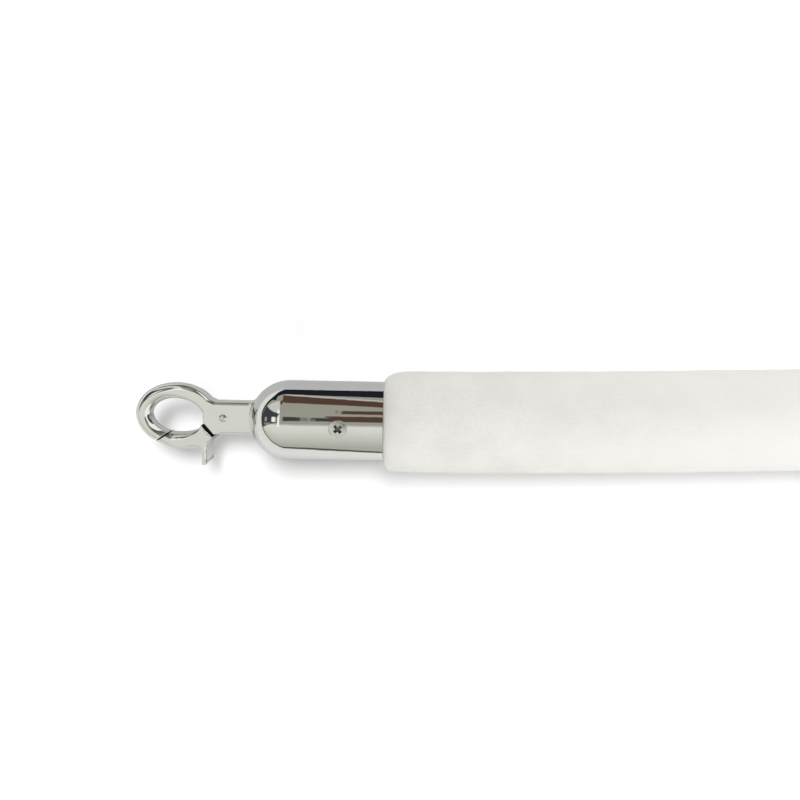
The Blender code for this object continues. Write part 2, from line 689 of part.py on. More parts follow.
def least_gap(places, run):
    """The least clear distance between stretches of the rope that aren't neighbours."""
    keep = slice(None, None, 8)
    points, lengths = places[keep, :2], run[keep]
    apart = np.linalg.norm(points[:, None] - points[None], axis=2)
    far = np.abs(lengths[:, None] - lengths[None]) > 3 * ROPE_DIAMETER
    return float(apart[far].min() - ROPE_DIAMETER)


# Assembly

SHARED = {
    "hook": (make_hook(), CHROME, (0, 0, 0)),
    "gate": (make_gate(), GATE_CHROME, (PIN.x, PIN.y, 0)),
    "gate_pin": (make_pin(), STEEL, (0, 0, 0)),
    "gate_spring": (make_spring(), SPRING_STEEL, (0, 0, 0)),
    "ferrule": (make_ferrule(), CHROME, (0, 0, 0)),
    "stem_washer": (make_washer(), STEEL, (0, 0, 0)),
    "stem_nut": (make_nut(), STEEL, (0, 0, 0)),
    "core_plug": (make_plug(), WOOD, (0, 0, 0)),
    "screw_top": (make_screw(1), STEEL, (0, 0, 0)),
    "screw_under": (make_screw(-1), STEEL, (0, 0, 0)),
}

for end, (rope_end, roll) in END_POSES.items():
    fitting = add_object("fitting_" + end, None, parts)
    fitting.location = (rope_end[0] - CONTACT_GAP, rope_end[1], AXIS_HEIGHT)
    fitting.rotation_euler = (roll, 0.0, 0.0)
    for name, (shape, paint, location) in SHARED.items():
        finish(f"{name}_{end}", shape, paint, fitting, location)

route, running = route_frame()
whole = float(running[-1])
straight = rope_tube(route, running, 0.0, STRAIGHT_LENGTH, STRAIGHT_STEP, True, False)
finish("rope_straight", straight, VELVET)
hank = rope_tube(route, running, STRAIGHT_LENGTH + CONTACT_GAP, whole, HANK_STEP, False, True)
groove_height = TIE_THICKNESS + CONTACT_GAP
groove = box((TIE_WIDTH + 2 * CONTACT_GAP, GROOVE_REACH, 2 * groove_height), (TIE_X, 0, 0))
finish("rope_hank", cut(hank, groove), VELVET)
finish("hank_tie", make_tie(), TAPE)
for spare in list(cutters.objects):
    bpy.data.objects.remove(spare, do_unlink=True)

bpy.context.view_layer.update()
for end in END_POSES:
    gate = bpy.data.objects["gate_" + end]
    axis = gate.matrix_world.to_3x3() @ Vector((0, 0, 1))
    eye = bpy.data.objects["fitting_" + end].matrix_world @ Vector((*EYE_CENTRE, 0))
    print("gate", end, "pivot", [round(v, 5) for v in gate.matrix_world.translation],
          "axis", [round(v, 5) for v in axis], "eye", [round(v, 5) for v in eye])
print("rope length", round(whole, 4), "least gap of the hank to itself in mm",
      round(least_gap(route, running) * 1000, 2))
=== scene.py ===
# %% [markdown]
# # A white velvet barrier rope with snap-hook ends
# The real object is a soft rope in a velvet sleeve. Each end is pushed into a domed chrome cup, the
# ferrule, and a cast snap hook is bolted through the dome. The scene repeats that order: frame, camera,
# rope, metal, light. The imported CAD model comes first, because every piece below is placed from it and
# moves with its bodies.

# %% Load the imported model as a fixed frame
import json
import math

import bmesh
import bpy
import numpy as np
from mathutils import Matrix, Vector


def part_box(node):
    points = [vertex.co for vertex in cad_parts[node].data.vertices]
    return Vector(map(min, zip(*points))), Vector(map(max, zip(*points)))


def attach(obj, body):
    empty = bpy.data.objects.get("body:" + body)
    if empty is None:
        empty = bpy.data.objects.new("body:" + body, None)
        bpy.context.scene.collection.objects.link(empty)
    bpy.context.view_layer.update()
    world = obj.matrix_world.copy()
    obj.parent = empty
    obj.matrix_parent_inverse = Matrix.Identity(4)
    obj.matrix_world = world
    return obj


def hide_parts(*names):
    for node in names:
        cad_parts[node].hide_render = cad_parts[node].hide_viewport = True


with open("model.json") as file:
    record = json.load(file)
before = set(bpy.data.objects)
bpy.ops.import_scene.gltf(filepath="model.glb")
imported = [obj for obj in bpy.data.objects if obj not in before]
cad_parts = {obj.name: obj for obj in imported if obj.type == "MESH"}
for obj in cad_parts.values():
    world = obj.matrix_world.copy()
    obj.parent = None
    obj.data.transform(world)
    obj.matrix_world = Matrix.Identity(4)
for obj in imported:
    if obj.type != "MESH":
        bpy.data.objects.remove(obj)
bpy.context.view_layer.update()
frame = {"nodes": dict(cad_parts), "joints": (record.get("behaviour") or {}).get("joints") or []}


def add_object(name, data):
    """A new object in the scene."""
    made = bpy.data.objects.new(name, data)
    bpy.context.scene.collection.objects.link(made)
    return made


# %% [markdown]
# ## Camera
# The photograph looks almost straight down from close by, so near things look clearly larger than far ones.
# A long lens would flatten that. The distance and focal length were found by laying the CAD outlines over
# the picture.

# %% Camera over the fitting
PHOTO_SIDE = 800
FOCAL_PIXELS = 520
SENSOR_WIDTH = 36.0
NEAREST_SEEN = 0.01
CAMERA_PLACE = (-0.0349, 0.0068, 0.1763)
CAMERA_ROLL = math.radians(1.1)

lens = bpy.data.cameras.new("camera")
lens.sensor_width = SENSOR_WIDTH
lens.lens = FOCAL_PIXELS / PHOTO_SIDE * SENSOR_WIDTH
lens.clip_start = NEAREST_SEEN
camera = add_object("camera", lens)
camera.location = CAMERA_PLACE
camera.rotation_euler = (0.0, 0.0, CAMERA_ROLL)
bpy.context.scene.camera = camera
print("focal length in mm:", round(lens.lens, 2))

# %% [markdown]
# ## Helpers for node trees
# Finishes and repeating shapes are both node trees here. A few helpers add a node, set its options and fill
# its inputs, so that each tree below reads as a list of steps. A node handed to another stands for its
# first output.

# %% Add a node, and the nodes that come up often
def fill(tree, node, values):
    """Fill a node's inputs with plain values, or with links from sockets and nodes."""
    for key, value in values.items():
        if isinstance(value, bpy.types.Node):
            value = value.outputs[0]
        if isinstance(value, bpy.types.NodeSocket):
            tree.links.new(value, node.inputs[key])
        else:
            node.inputs[key].default_value = value


def add_node(tree, kind, values=None, **options):
    """Add a node, set its options and fill its inputs."""
    made = tree.nodes.new(kind)
    for name, value in options.items():
        setattr(made, name, value)
    fill(tree, made, values or {})
    return made


def calc(tree, operation, *values, clamp=False):
    """The result of a sum on values."""
    made = add_node(tree, "ShaderNodeMath", dict(enumerate(values)), operation=operation, use_clamp=clamp)
    return made.outputs["Value"]


def ranged(tree, value, source=(0.0, 1.0), target=(0.0, 1.0), **options):
    """A value moved from one range to another and held inside it."""
    ends = {"From Min": source[0], "From Max": source[1], "To Min": target[0], "To Max": target[1]}
    return add_node(tree, "ShaderNodeMapRange", {"Value": value, **ends}, **options).outputs["Result"]


def split(tree, vector):
    """The three parts of a vector."""
    axes = add_node(tree, "ShaderNodeSeparateXYZ", {"Vector": vector})
    return axes.outputs["X"], axes.outputs["Y"], axes.outputs["Z"]


def geometry_tree(name, sizes):
    """A Geometry Nodes tree with one geometry in, one out, and named inputs for its sizes."""
    tree = bpy.data.node_groups.new(name, "GeometryNodeTree")
    tree.interface.new_socket("Geometry", in_out="INPUT", socket_type="NodeSocketGeometry")
    for label, kind in sizes.items():
        tree.interface.new_socket(label, in_out="INPUT", socket_type=kind)
    tree.interface.new_socket("Geometry", in_out="OUTPUT", socket_type="NodeSocketGeometry")
    return tree, tree.nodes.new("NodeGroupInput").outputs, tree.nodes.new("NodeGroupOutput")


def named(tree, name, kind="FLOAT"):
    """A value that a shape carries under a name."""
    made = add_node(tree, "GeometryNodeInputNamedAttribute", {"Name": name}, data_type=kind)
    return made.outputs["Attribute"]


def result_of(carrier, *helpers):
    """The plain mesh that an object's modifiers give. The object and its helpers are removed."""
    bpy.context.view_layer.update()
    result = bpy.data.meshes.new_from_object(carrier.evaluated_get(bpy.context.evaluated_depsgraph_get()))
    carrier.modifiers.clear()
    for thing in (carrier, *helpers):
        bpy.data.objects.remove(thing, do_unlink=True)
    return result


def grow(name, mesh, tree, sizes):
    """Run a geometry tree on a mesh with its inputs set, and keep the result as a plain mesh."""
    carrier = add_object(name, mesh)
    modifier = carrier.modifiers.new(name, "NODES")
    modifier.node_group = tree
    for item in tree.interface.items_tree:
        if item.item_type == "SOCKET" and item.name in sizes:
            modifier[item.identifier] = sizes[item.name]
    return result_of(carrier)


# %% Parts of a finish
def principled(name):
    """A new material, its node tree and its Principled shader."""
    paint = bpy.data.materials.new(name)
    paint.use_nodes = True
    return paint, paint.node_tree, paint.node_tree.nodes["Principled BSDF"]


def object_place(tree):
    """The place on the object, in metres."""
    return add_node(tree, "ShaderNodeTexCoord").outputs["Object"]


def noise(tree, place, scale, detail):
    """Soft noise from 0 to 1."""
    made = add_node(tree, "ShaderNodeTexNoise", {"Vector": place, "Scale": scale, "Detail": detail})
    return made.outputs["Fac"]


def blend(tree, share, first, second):
    """A colour between two, each a plain colour or a socket."""
    ends = [(*colour, 1.0) if isinstance(colour, tuple) else colour for colour in (first, second)]
    return add_node(tree, "ShaderNodeMix", {0: share, 6: ends[0], 7: ends[1]}, data_type="RGBA").outputs[2]


def bump(tree, height, strength, distance):
    """A surface that looks raised where the height is large."""
    return add_node(tree, "ShaderNodeBump", {"Height": height, "Strength": strength, "Distance": distance})


# %% [markdown]
# ## Helpers for meshes
# The metal pieces are drawn as loops of points that are skinned, then joined and cut, much as a caster and
# a fitter would make them. Cutting leaves loose slivers, so there are helpers that turn faces outwards and
# mend a cut mesh.

# %% Meshes by hand, and cutting one with another
SHARP_ANGLE = math.radians(32)
SLIVER = 0.000006


def reworked(mesh, change):
    """A mesh after a change to its points and faces."""
    shape = bmesh.new()
    shape.from_mesh(mesh)
    change(shape)
    shape.to_mesh(mesh)
    shape.free()
    return mesh


def face_out(shape):
    """Turn all faces outwards."""
    bmesh.ops.recalc_face_normals(shape, faces=shape.faces)


def mend(shape):
    """Take out the hair-thin slivers that cutting leaves, and make many-sided faces triangles."""
    bmesh.ops.remove_doubles(shape, verts=shape.verts, dist=SLIVER)
    many_sided = [face for face in shape.faces if len(face.verts) > 4]
    bmesh.ops.triangulate(shape, faces=many_sided, quad_method="BEAUTY", ngon_method="BEAUTY")
    bmesh.ops.dissolve_degenerate(shape, dist=SLIVER / 2, edges=shape.edges)


def mesh_from(name, points, faces):
    """A closed mesh from points and faces, with its faces turned outwards."""
    mesh = bpy.data.meshes.new(name)
    mesh.from_pydata([tuple(point) for point in points], [], faces)
    return reworked(mesh, face_out)


def skinned(name, loops):
    """A closed mesh over loops of points, one after the other, with a face over the first and the last."""
    count = len(loops[0])
    last = (len(loops) - 1) * count
    faces = [tuple(range(count)), tuple(range(last, last + count))]
    for start in range(0, last, count):
        for i in range(count):
            j = (i + 1) % count
            faces.append((start + i, start + j, start + count + j, start + count + i))
    return mesh_from(name, np.concatenate(loops), faces)


def ringed(name, rings, closed=True):
    """A mesh over rows of points that run round to the first row again, each row closed or open."""
    count = len(rings[0])
    faces = []
    for number in range(len(rings)):
        here, there = number * count, (number + 1) % len(rings) * count
        for i in range(count if closed else count - 1):
            j = (i + 1) % count
            faces.append((here + i, here + j, there + j, there + i))
    return mesh_from(name, np.concatenate(rings), faces)


def combine(mesh, operation, *others):
    """Join meshes to a mesh or cut them from it, one after the other."""
    carrier = add_object("carrier", mesh)
    helpers = [add_object("helper", other) for other in others]
    for helper in helpers:
        modifier = carrier.modifiers.new("step", "BOOLEAN")
        modifier.operation = operation
        modifier.solver = "EXACT"
        modifier.object = helper
    return result_of(carrier, *helpers)


def finish_mesh(mesh, *paints):
    """Smooth shading with sharp edges kept, and the piece's materials."""
    for paint in paints:
        mesh.materials.append(paint)
    mesh.shade_smooth()
    mesh.set_sharp_from_angle(angle=SHARP_ANGLE)
    return mesh


def placed(mesh, place):
    """A copy of a mesh with a place applied to its points."""
    copy = mesh.copy()
    copy.transform(place)
    return copy


def add_piece(name, mesh, body, slot_name, *nodes):
    """A named piece, whose place is already in its points, that rides on a body and stands for CAD nodes."""
    piece = add_object(name, mesh)
    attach(piece, body)
    if nodes:
        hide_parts(*nodes)
    print(name, "faces:", len(mesh.polygons))
    return piece


# %% [markdown]
# ## Route of the rope
# The rope lies on the floor: a straight stretch into the picture, then one long fold that is out of view,
# tied as for a shelf. The route is a few points on the floor, joined by a natural cubic curve, which bends
# as evenly as a springy rope does. The points are the CAD model's own, so the velvet lies where its solids
# are.

# %% Smooth curve through the route's points
ROPE_DIAMETER = 0.032
AXIS_HEIGHT = 0.0128
ROPE_ROUTE = [
    (-0.0397, 0.000), (-0.015, 0.0002), (0.015, 0.0008), (0.050, 0.0017), (0.090, 0.0030),
    (0.130, 0.0040), (0.180, 0.0046), (0.240, 0.0047), (0.300, 0.0047), (0.350, 0.0047),
    (0.392, 0.0044), (0.428, -0.002), (0.459, -0.019), (0.480, -0.040), (0.512, -0.065),
    (0.552, -0.0785), (0.594, -0.073), (0.631, -0.0495), (0.654, -0.014), (0.660, 0.0215),
    (0.654, 0.057), (0.631, 0.0925), (0.594, 0.116), (0.552, 0.1215), (0.512, 0.108),
    (0.480, 0.083), (0.459, 0.062), (0.428, 0.045), (0.392, 0.0386), (0.350, 0.0383),
    (0.300, 0.0383), (0.250, 0.0383), (0.215, 0.0383), (0.1903, 0.0383),
]
ROUTE_SAMPLES = 60


def run_along(points):
    """Running length at each of a line of points."""
    return np.concatenate([[0.0], np.cumsum(np.linalg.norm(np.diff(points, axis=0), axis=1))])


def smooth_route(points, samples):
    """Places and running lengths along a natural cubic curve through the points."""
    knots = np.array(points, dtype=float)
    chord = np.linalg.norm(np.diff(knots, axis=0), axis=1)
    matrix = np.eye(len(knots))
    right = np.zeros_like(knots)
    for i in range(1, len(knots) - 1):
        matrix[i, i - 1:i + 2] = chord[i - 1], 2 * (chord[i - 1] + chord[i]), chord[i]
        right[i] = 6 * ((knots[i + 1] - knots[i]) / chord[i] - (knots[i] - knots[i - 1]) / chord[i - 1])
    bend = np.linalg.solve(matrix, right)
    places = []
    for i, step in enumerate(chord):
        for f in np.linspace(0, 1, samples, endpoint=False):
            curve = ((1 - f)**3 - (1 - f)) * bend[i] + (f**3 - f) * bend[i + 1]
            places.append((1 - f) * knots[i] + f * knots[i + 1] + curve * step * step / 6)
    places = np.array(places + [knots[-1]])
    return places, run_along(places)


route, running = smooth_route(ROPE_ROUTE, ROUTE_SAMPLES)
ROPE_LENGTH = float(running[-1])
print("rope length in m:", round(ROPE_LENGTH, 4))

# %% [markdown]
# ## White velvet
# Velvet is short upright pile. It scatters light at grazing angles, so its sides look as bright as its top,
# and stroked patches look a little darker. A plain white would look like plaster: sheen gives the bright
# sides, noise gives the stroked patches and the tufts, and a fine wave gives the rows of pile. Towards each
# end the colour is painted greyer, as painted shade, and the patches and tufts are stronger there.

# %% Velvet finish
ROW_PITCH = 0.00069
ROW_SHARE = 0.10
ROW_WANDER = 5.0
PATCH_TONE = (0.0, 0.32)
SPECKLE_TONE = (-0.16, 0.16)
# Painted shade: the velvet's colour greys over this length at each end of the rope.
SHADED_END_LENGTH = 0.13
END_SHADE_TONE = (0.76, 0.16)
STROKED_SHARE = (1.0, 0.14)
CRUSHED_SHARE = (1.4, 0.3)
PILE_RELIEF = 0.30
PILE_HEIGHT = 0.00015


def velvet(name, colour, shade):
    """Soft pile with stroked patches, fine rows along the rope, painted shade greying each end, and a sheen.
    """
    paint, tree, shader = principled(name)
    place = object_place(tree)
    run, girth, _ = split(tree, add_node(tree, "ShaderNodeUVMap", uv_map="rope_map"))
    drift = calc(tree, "MULTIPLY", noise(tree, place, scale=240.0, detail=1.0), ROW_WANDER)
    rows = calc(tree, "SINE", calc(tree, "MULTIPLY_ADD", girth, 2 * math.pi / ROW_PITCH, drift))
    grain = calc(tree, "MULTIPLY_ADD", rows, ROW_SHARE, noise(tree, place, scale=2600.0, detail=2.0))
    patches = ranged(tree, noise(tree, place, scale=95.0, detail=3.0), (0.40, 0.72), PATCH_TONE)
    speckle = ranged(tree, grain, (0.3, 0.7), SPECKLE_TONE)
    # Painted shade: the colour greys towards each end, and the patches and tufts are stronger there.
    from_end = calc(tree, "MINIMUM", run, calc(tree, "SUBTRACT", ROPE_LENGTH, run))
    end_shade, stroked, crushed = (ranged(tree, from_end, (0.0, SHADED_END_LENGTH), ends)
                                 for ends in (END_SHADE_TONE, STROKED_SHARE, CRUSHED_SHARE))
    patches_and_end_shade = calc(tree, "MULTIPLY_ADD", patches, stroked, end_shade)
    shading = calc(tree, "MULTIPLY_ADD", speckle, crushed, patches_and_end_shade)
    upright_pile = calc(tree, "MULTIPLY", crushed, PILE_RELIEF)
    fill(tree, shader, {"Base Color": blend(tree, shading, colour, shade), "Roughness": 0.95,
                        "Normal": bump(tree, grain, upright_pile, PILE_HEIGHT),
                        "Specular IOR Level": 0.12, "Sheen Weight": 0.35, "Sheen Roughness": 0.45})
    return paint


WHITE_VELVET = velvet("white_velvet", (0.92, 0.905, 0.87), (0.71, 0.70, 0.66))
print("finish:", WHITE_VELVET.name)

# %% [markdown]
# ## Stations along the rope
# A tube can be a bevelled curve, or rings of points that are skinned. Geometry Nodes do the second here
# from one line of stations: each station carries its share of the full radius and the height that it rests
# at, which is the floor, or the tape of the tie where that passes under it. The sleeve rolls in at each
# end, over the ferrule's mouth.

# %% Line of stations with their shares of the radius
FERRULE_RADIUS = 0.0124
END_ROUND = 0.0062
END_LIP = 0.00015
END_TAPER = 0.0006
TAPER_REACH = 0.0060
END_STEPS = 14
TIE_X = 0.295
TIE_WIDTH = 0.022
TIE_THICKNESS = 0.0012
TIE_CLEARANCE = 0.0003
TIE_EASE = (0.001, 0.006)
SEEN_LENGTH = 0.172
SEEN_STEP = 0.0009
HANK_STEP = 0.0026


def end_radius(distance, rounding=END_ROUND):
    """Radius of the sleeve at a distance in from the ferrule's mouth."""
    full = ROPE_DIAMETER / 2 - END_TAPER * math.exp(-distance / TAPER_REACH)
    face = FERRULE_RADIUS + END_LIP
    lean = max(0.0, 1 - distance / rounding)
    return face + (full - face) * math.sqrt(1 - lean * lean)


def eased(value, low, high):
    """Smooth step from 0 at low to 1 at high."""
    share = np.clip((np.array(value) - low) / (high - low), 0.0, 1.0)
    return share * share * (3 - 2 * share)


def route_at(distances):
    """Places on the rope's axis at distances along the route."""
    places = [np.interp(distances, running, route[:, axis]) for axis in (0, 1)]
    return np.column_stack([*places, np.full(len(distances), AXIS_HEIGHT)])


end_steps = END_ROUND * (1 - np.cos(np.linspace(0, math.pi / 2, END_STEPS)))
seen_steps = np.arange(end_steps[-1] + SEEN_STEP, SEEN_LENGTH, SEEN_STEP)
hank_steps = np.arange(SEEN_LENGTH, ROPE_LENGTH - END_ROUND, HANK_STEP)
stations = np.concatenate([end_steps, seen_steps, hank_steps, ROPE_LENGTH - end_steps[::-1]])
shares = [end_radius(min(s, ROPE_LENGTH - s)) / (ROPE_DIAMETER / 2) for s in stations]
axis_places = route_at(stations)
past_tape = np.abs(axis_places[:, 0] - TIE_X) - TIE_WIDTH / 2
rests = (TIE_THICKNESS + TIE_CLEARANCE) * (1 - eased(past_tape, *TIE_EASE))
station_line = bpy.data.meshes.new("stations")
station_line.from_pydata(axis_places.tolist(), [(i, i + 1) for i in range(len(stations) - 1)], [])
for label, numbers in (("share", shares), ("run", stations), ("rest", rests)):
    values = station_line.attributes.new(label, "FLOAT", "POINT")
    values.data.foreach_set("value", np.array(numbers, dtype=np.float32))
print("stations:", len(stations))

# %% [markdown]
# ## The rope itself
# The tree turns the line into a curve, sweeps a circle along it, lets the underside lie flat on the floor,
# and adds a little unevenness so that the sleeve doesn't look moulded. It also stores a map of the surface,
# length by girth in metres, for the rows of pile.

# %% Tree for a soft rope that lies on the floor
ROPE_SIDES = 112
UNEVENNESS = 0.0004
FLOOR_EASE = 0.0016
FLOOR_PRESS = 0.0004


def stored(tree, shape, name, value, kind, domain):
    """A shape that carries a value under a name."""
    return add_node(tree, "GeometryNodeStoreNamedAttribute",
                    {"Geometry": shape, "Name": name, "Value": value}, data_type=kind, domain=domain)


def rope_tree():
    """Sweep a circle along a line of stations and rest it on the floor."""
    tree, start, end = geometry_tree("rope_sweep", {
        "Diameter": "NodeSocketFloat", "Sides": "NodeSocketInt", "Unevenness": "NodeSocketFloat",
        "Finish": "NodeSocketMaterial"})
    path = add_node(tree, "GeometryNodeMeshToCurve", {"Mesh": start["Geometry"]})
    steady = add_node(tree, "GeometryNodeSetCurveNormal", {"Curve": path}, mode="Z_UP")
    circle = add_node(tree, "GeometryNodeCurvePrimitiveCircle", {
        "Resolution": start["Sides"], "Radius": calc(tree, "MULTIPLY", start["Diameter"], 0.5)})
    girth = add_node(tree, "GeometryNodeSplineParameter").outputs["Length"]
    marked = stored(tree, circle, "around", girth, "FLOAT", "POINT")
    turned = add_node(tree, "GeometryNodeTransform", {"Geometry": marked, "Rotation": (0.0, 0.0, math.pi)})
    swept = add_node(tree, "GeometryNodeCurveToMesh", {"Curve": steady, "Profile Curve": turned,
                                                       "Scale": named(tree, "share"), "Fill Caps": True})
    lumps = add_node(tree, "ShaderNodeTexNoise", {"Scale": 55.0, "Detail": 2.0}).outputs["Fac"]
    amount = calc(tree, "MULTIPLY", calc(tree, "SUBTRACT", lumps, 0.5), start["Unevenness"])
    outward = add_node(tree, "GeometryNodeInputNormal").outputs["Normal"]
    shift = add_node(tree, "ShaderNodeVectorMath", {0: outward, "Scale": amount}, operation="SCALE")
    uneven = add_node(tree, "GeometryNodeSetPosition", {"Geometry": swept, "Offset": shift})
    x, y, z = split(tree, add_node(tree, "GeometryNodeInputPosition"))
    rest = named(tree, "rest")
    eased_z = calc(tree, "SMOOTH_MAX", z, rest, FLOOR_EASE)
    height = calc(tree, "MAXIMUM", calc(tree, "SUBTRACT", eased_z, FLOOR_PRESS), rest)
    resting = add_node(tree, "ShaderNodeCombineXYZ", {"X": x, "Y": y, "Z": height})
    rested = add_node(tree, "GeometryNodeSetPosition", {"Geometry": uneven, "Position": resting})
    rope_map = add_node(tree, "ShaderNodeCombineXYZ", {"X": named(tree, "run"), "Y": named(tree, "around")})
    mapped = stored(tree, rested, "rope_map", rope_map, "FLOAT2", "CORNER")
    smooth = add_node(tree, "GeometryNodeSetShadeSmooth", {"Geometry": mapped})
    whole = add_node(tree, "GeometryNodeRealizeInstances", {"Geometry": smooth})
    painted = add_node(tree, "GeometryNodeSetMaterial", {"Geometry": whole, "Material": start["Finish"]})
    fill(tree, end, {"Geometry": painted})
    return tree


rope_mesh = grow("velvet_rope", station_line, rope_tree(), {
    "Diameter": ROPE_DIAMETER, "Sides": ROPE_SIDES, "Unevenness": UNEVENNESS, "Finish": WHITE_VELVET})

# %% Ends of the sleeve
LIP_WIDTH = 0.00006
LIP_DEPTH = 0.0004
NEAR_ROUND = 0.0024
NEAR_SHARE = (0.2, 0.9)


def tuck_ends(shape):
    """Fold each end cap in, so that the sleeve's lip lies outside the ferrule and clear of it."""
    for cap in [face for face in shape.faces if len(face.verts) > 4]:
        bmesh.ops.inset_region(shape, faces=[cap], thickness=LIP_WIDTH, depth=-LIP_DEPTH)


def square_near_corner(mesh):
    """Make the sleeve's rolled edge tighter on the near side of end A, as it is sewn there."""
    for point in mesh.vertices:
        distance = point.co.x - ROPE_ROUTE[0][0]
        if 0 < distance < END_ROUND and point.co.y < 0:
            fuller = end_radius(distance, NEAR_ROUND) / end_radius(distance)
            point.co.y *= 1 + (fuller - 1) * float(eased(-point.co.y / FERRULE_RADIUS, *NEAR_SHARE))


square_near_corner(reworked(rope_mesh, tuck_ends))
rope = add_piece("velvet_rope", rope_mesh, "rope", "white_velvet", "rope_straight", "rope_hank")

# %% [markdown]
# ## Tape tie
# A strip of woven tape holds the two runs of the folded rope together. It goes round both, lies tight over
# their tops and flat between them and the floor. One closed section, swept along the rope's direction,
# gives it, and a map of the tape's length and width keeps its weave square.

# %% Woven tape finish
WEAVE_PITCHES = (0.0011, 0.0009)


def woven_tape(name, colour, gap_colour):
    """Plain weave: warp and weft ribs that take turns on top, with a slubby tone."""
    paint, tree, shader = principled(name)
    tape_map = add_node(tree, "ShaderNodeUVMap", uv_map="tape_map")
    ribs = [calc(tree, "SINE", calc(tree, "MULTIPLY", axis, 2 * math.pi / pitch))
            for axis, pitch in zip(split(tree, tape_map), WEAVE_PITCHES)]
    raised = ranged(tree, calc(tree, "MULTIPLY", *ribs), (-1.0, 1.0))
    level = calc(tree, "MULTIPLY", raised, noise(tree, tape_map, scale=700.0, detail=3.0))
    fill(tree, shader, {"Base Color": blend(tree, level, gap_colour, colour), "Roughness": 0.9,
                        "Normal": bump(tree, level, 0.6, 0.0002), "Sheen Weight": 0.2})
    return paint


TIE_TAPE = woven_tape("tie_tape", (0.84, 0.83, 0.79), (0.62, 0.61, 0.57))

# %% Tape round both runs
RUN_POINTS = 10
TAPE_STEPS = 23
TAPE_EDGE = 0.35
TAPE_EDGE_POWER = 12


def run_y(points):
    """Where a run of the rope lies across, at the tie."""
    ordered = sorted(points)
    return float(np.interp(TIE_X, [p[0] for p in ordered], [p[1] for p in ordered]))


def tape_section(grown, bottom):
    """Points round both runs, from the floor up one side, over the top and down the other."""
    radius = ROPE_DIAMETER / 2 + grown
    lean = math.asin((AXIS_HEIGHT - bottom) / radius)
    near, far = run_y(ROPE_ROUTE[:RUN_POINTS]), run_y(ROPE_ROUTE[-RUN_POINTS:])
    points = []
    for middle, start, end in ((near, math.pi + lean, math.pi / 2), (far, math.pi / 2, -lean)):
        for angle in np.linspace(start, end, 30):
            points.append((middle + radius * math.cos(angle), AXIS_HEIGHT + radius * math.sin(angle)))
    under = np.linspace(points[-1], points[0], 24)[1:-1]
    return np.concatenate([points, under])


def tape_mesh():
    """A tube of tape with rounded edges and a map of length by width for its weave."""
    outer = tape_section(TIE_CLEARANCE + TIE_THICKNESS, 0.0)
    inner = tape_section(TIE_CLEARANCE, TIE_THICKNESS)
    middle, half = (outer + inner) / 2, (outer - inner) / 2
    across = np.linspace(-1, 1, TAPE_STEPS)
    upper = [(w, 1.0 - TAPE_EDGE * abs(w)**TAPE_EDGE_POWER) for w in across]
    sides = upper + [(w, -level) for w, level in reversed(upper)]
    mesh = ringed("tape", [[(TIE_X + w * TIE_WIDTH / 2, y, z) for y, z in middle + half * level]
                           for w, level in sides])
    length = run_along(middle)
    chart = mesh.uv_layers.new(name="tape_map")
    for loop in mesh.loops:
        x = mesh.vertices[loop.vertex_index].co.x
        chart.data[loop.index].uv = (length[loop.vertex_index % len(middle)], x)
    return finish_mesh(mesh, TIE_TAPE)


tie = add_piece("tape_tie", tape_mesh(), "rope", "tie_tape", "hank_tie")

# %% [markdown]
# ## Chrome and steel
# Polished chrome has hardly any colour of its own. What shows is the room, so most of its look comes from
# the light set up at the end. The finish adds what keeps it from looking computed: faint smudges that dull
# the mirror, hair scratches from polishing, and a slight waviness under the plate.

# %% Metal finishes
SMUDGE_TONE = 0.93
SMUDGE_GLOSS = (0.6, 1.7)


def plated(name, colour, rough, waviness, scratches):
    """Plated metal: smudges and hair scratches in its gloss, and a slightly wavy surface."""
    paint, tree, shader = principled(name)
    place = object_place(tree)
    smudge = noise(tree, place, scale=140.0, detail=4.0)
    combed = add_node(tree, "ShaderNodeMapping", {"Vector": place, "Scale": (150.0, 4200.0, 4200.0)})
    dulled = ranged(tree, smudge, (0.35, 0.75), [rough * share for share in SMUDGE_GLOSS])
    scored = ranged(tree, noise(tree, combed, scale=1.0, detail=2.0), (0.62, 0.80), (0.0, scratches))
    darker = tuple(channel * SMUDGE_TONE for channel in colour)
    swell = noise(tree, place, scale=210.0, detail=1.0)
    fill(tree, shader, {"Base Color": blend(tree, smudge, colour, darker), "Metallic": 1.0,
                        "Roughness": calc(tree, "ADD", dulled, scored),
                        "Normal": bump(tree, swell, 1.0, waviness)})
    return paint


FERRULE_CHROME = plated("ferrule_chrome", (0.90, 0.90, 0.88), 0.035, 0.00003, 0.05)
HOOK_CHROME = plated("hook_chrome", (0.89, 0.89, 0.86), 0.06, 0.00003, 0.08)
GATE_CHROME = plated("gate_chrome", (0.88, 0.88, 0.85), 0.07, 0.00003, 0.08)
SCREW_STEEL = plated("screw_steel", (0.80, 0.80, 0.78), 0.22, 0.00002, 0.10)
WIRE_STEEL = plated("wire_steel", (0.50, 0.50, 0.51), 0.30, 0.00002, 0.10)
# Darker steel painted into the screws' cross recesses as painted shade.
RECESS_SHADE_STEEL = plated("recess_painted_shade", (0.27, 0.26, 0.225), 0.45, 0.00002, 0.10)
# Nearly black metal, painted on the joint and gap faces as painted shade.
GAP_SHADE_METAL = plated("painted_joint_shade", (0.035, 0.034, 0.030), 0.55, 0.00002, 0.10)
print("metal finishes made")

# %% [markdown]
# ## Frames of the two fittings
# Both ends carry the same fitting, turned half a turn about the rope at the far end. Each piece is drawn
# once in the fitting's own frame: x along the rope from the ferrule's mouth, z square to the hook's flat.
# The frame's place comes from the CAD ferrule, and its roll from the hinge axis, which is square to the
# flat as well.

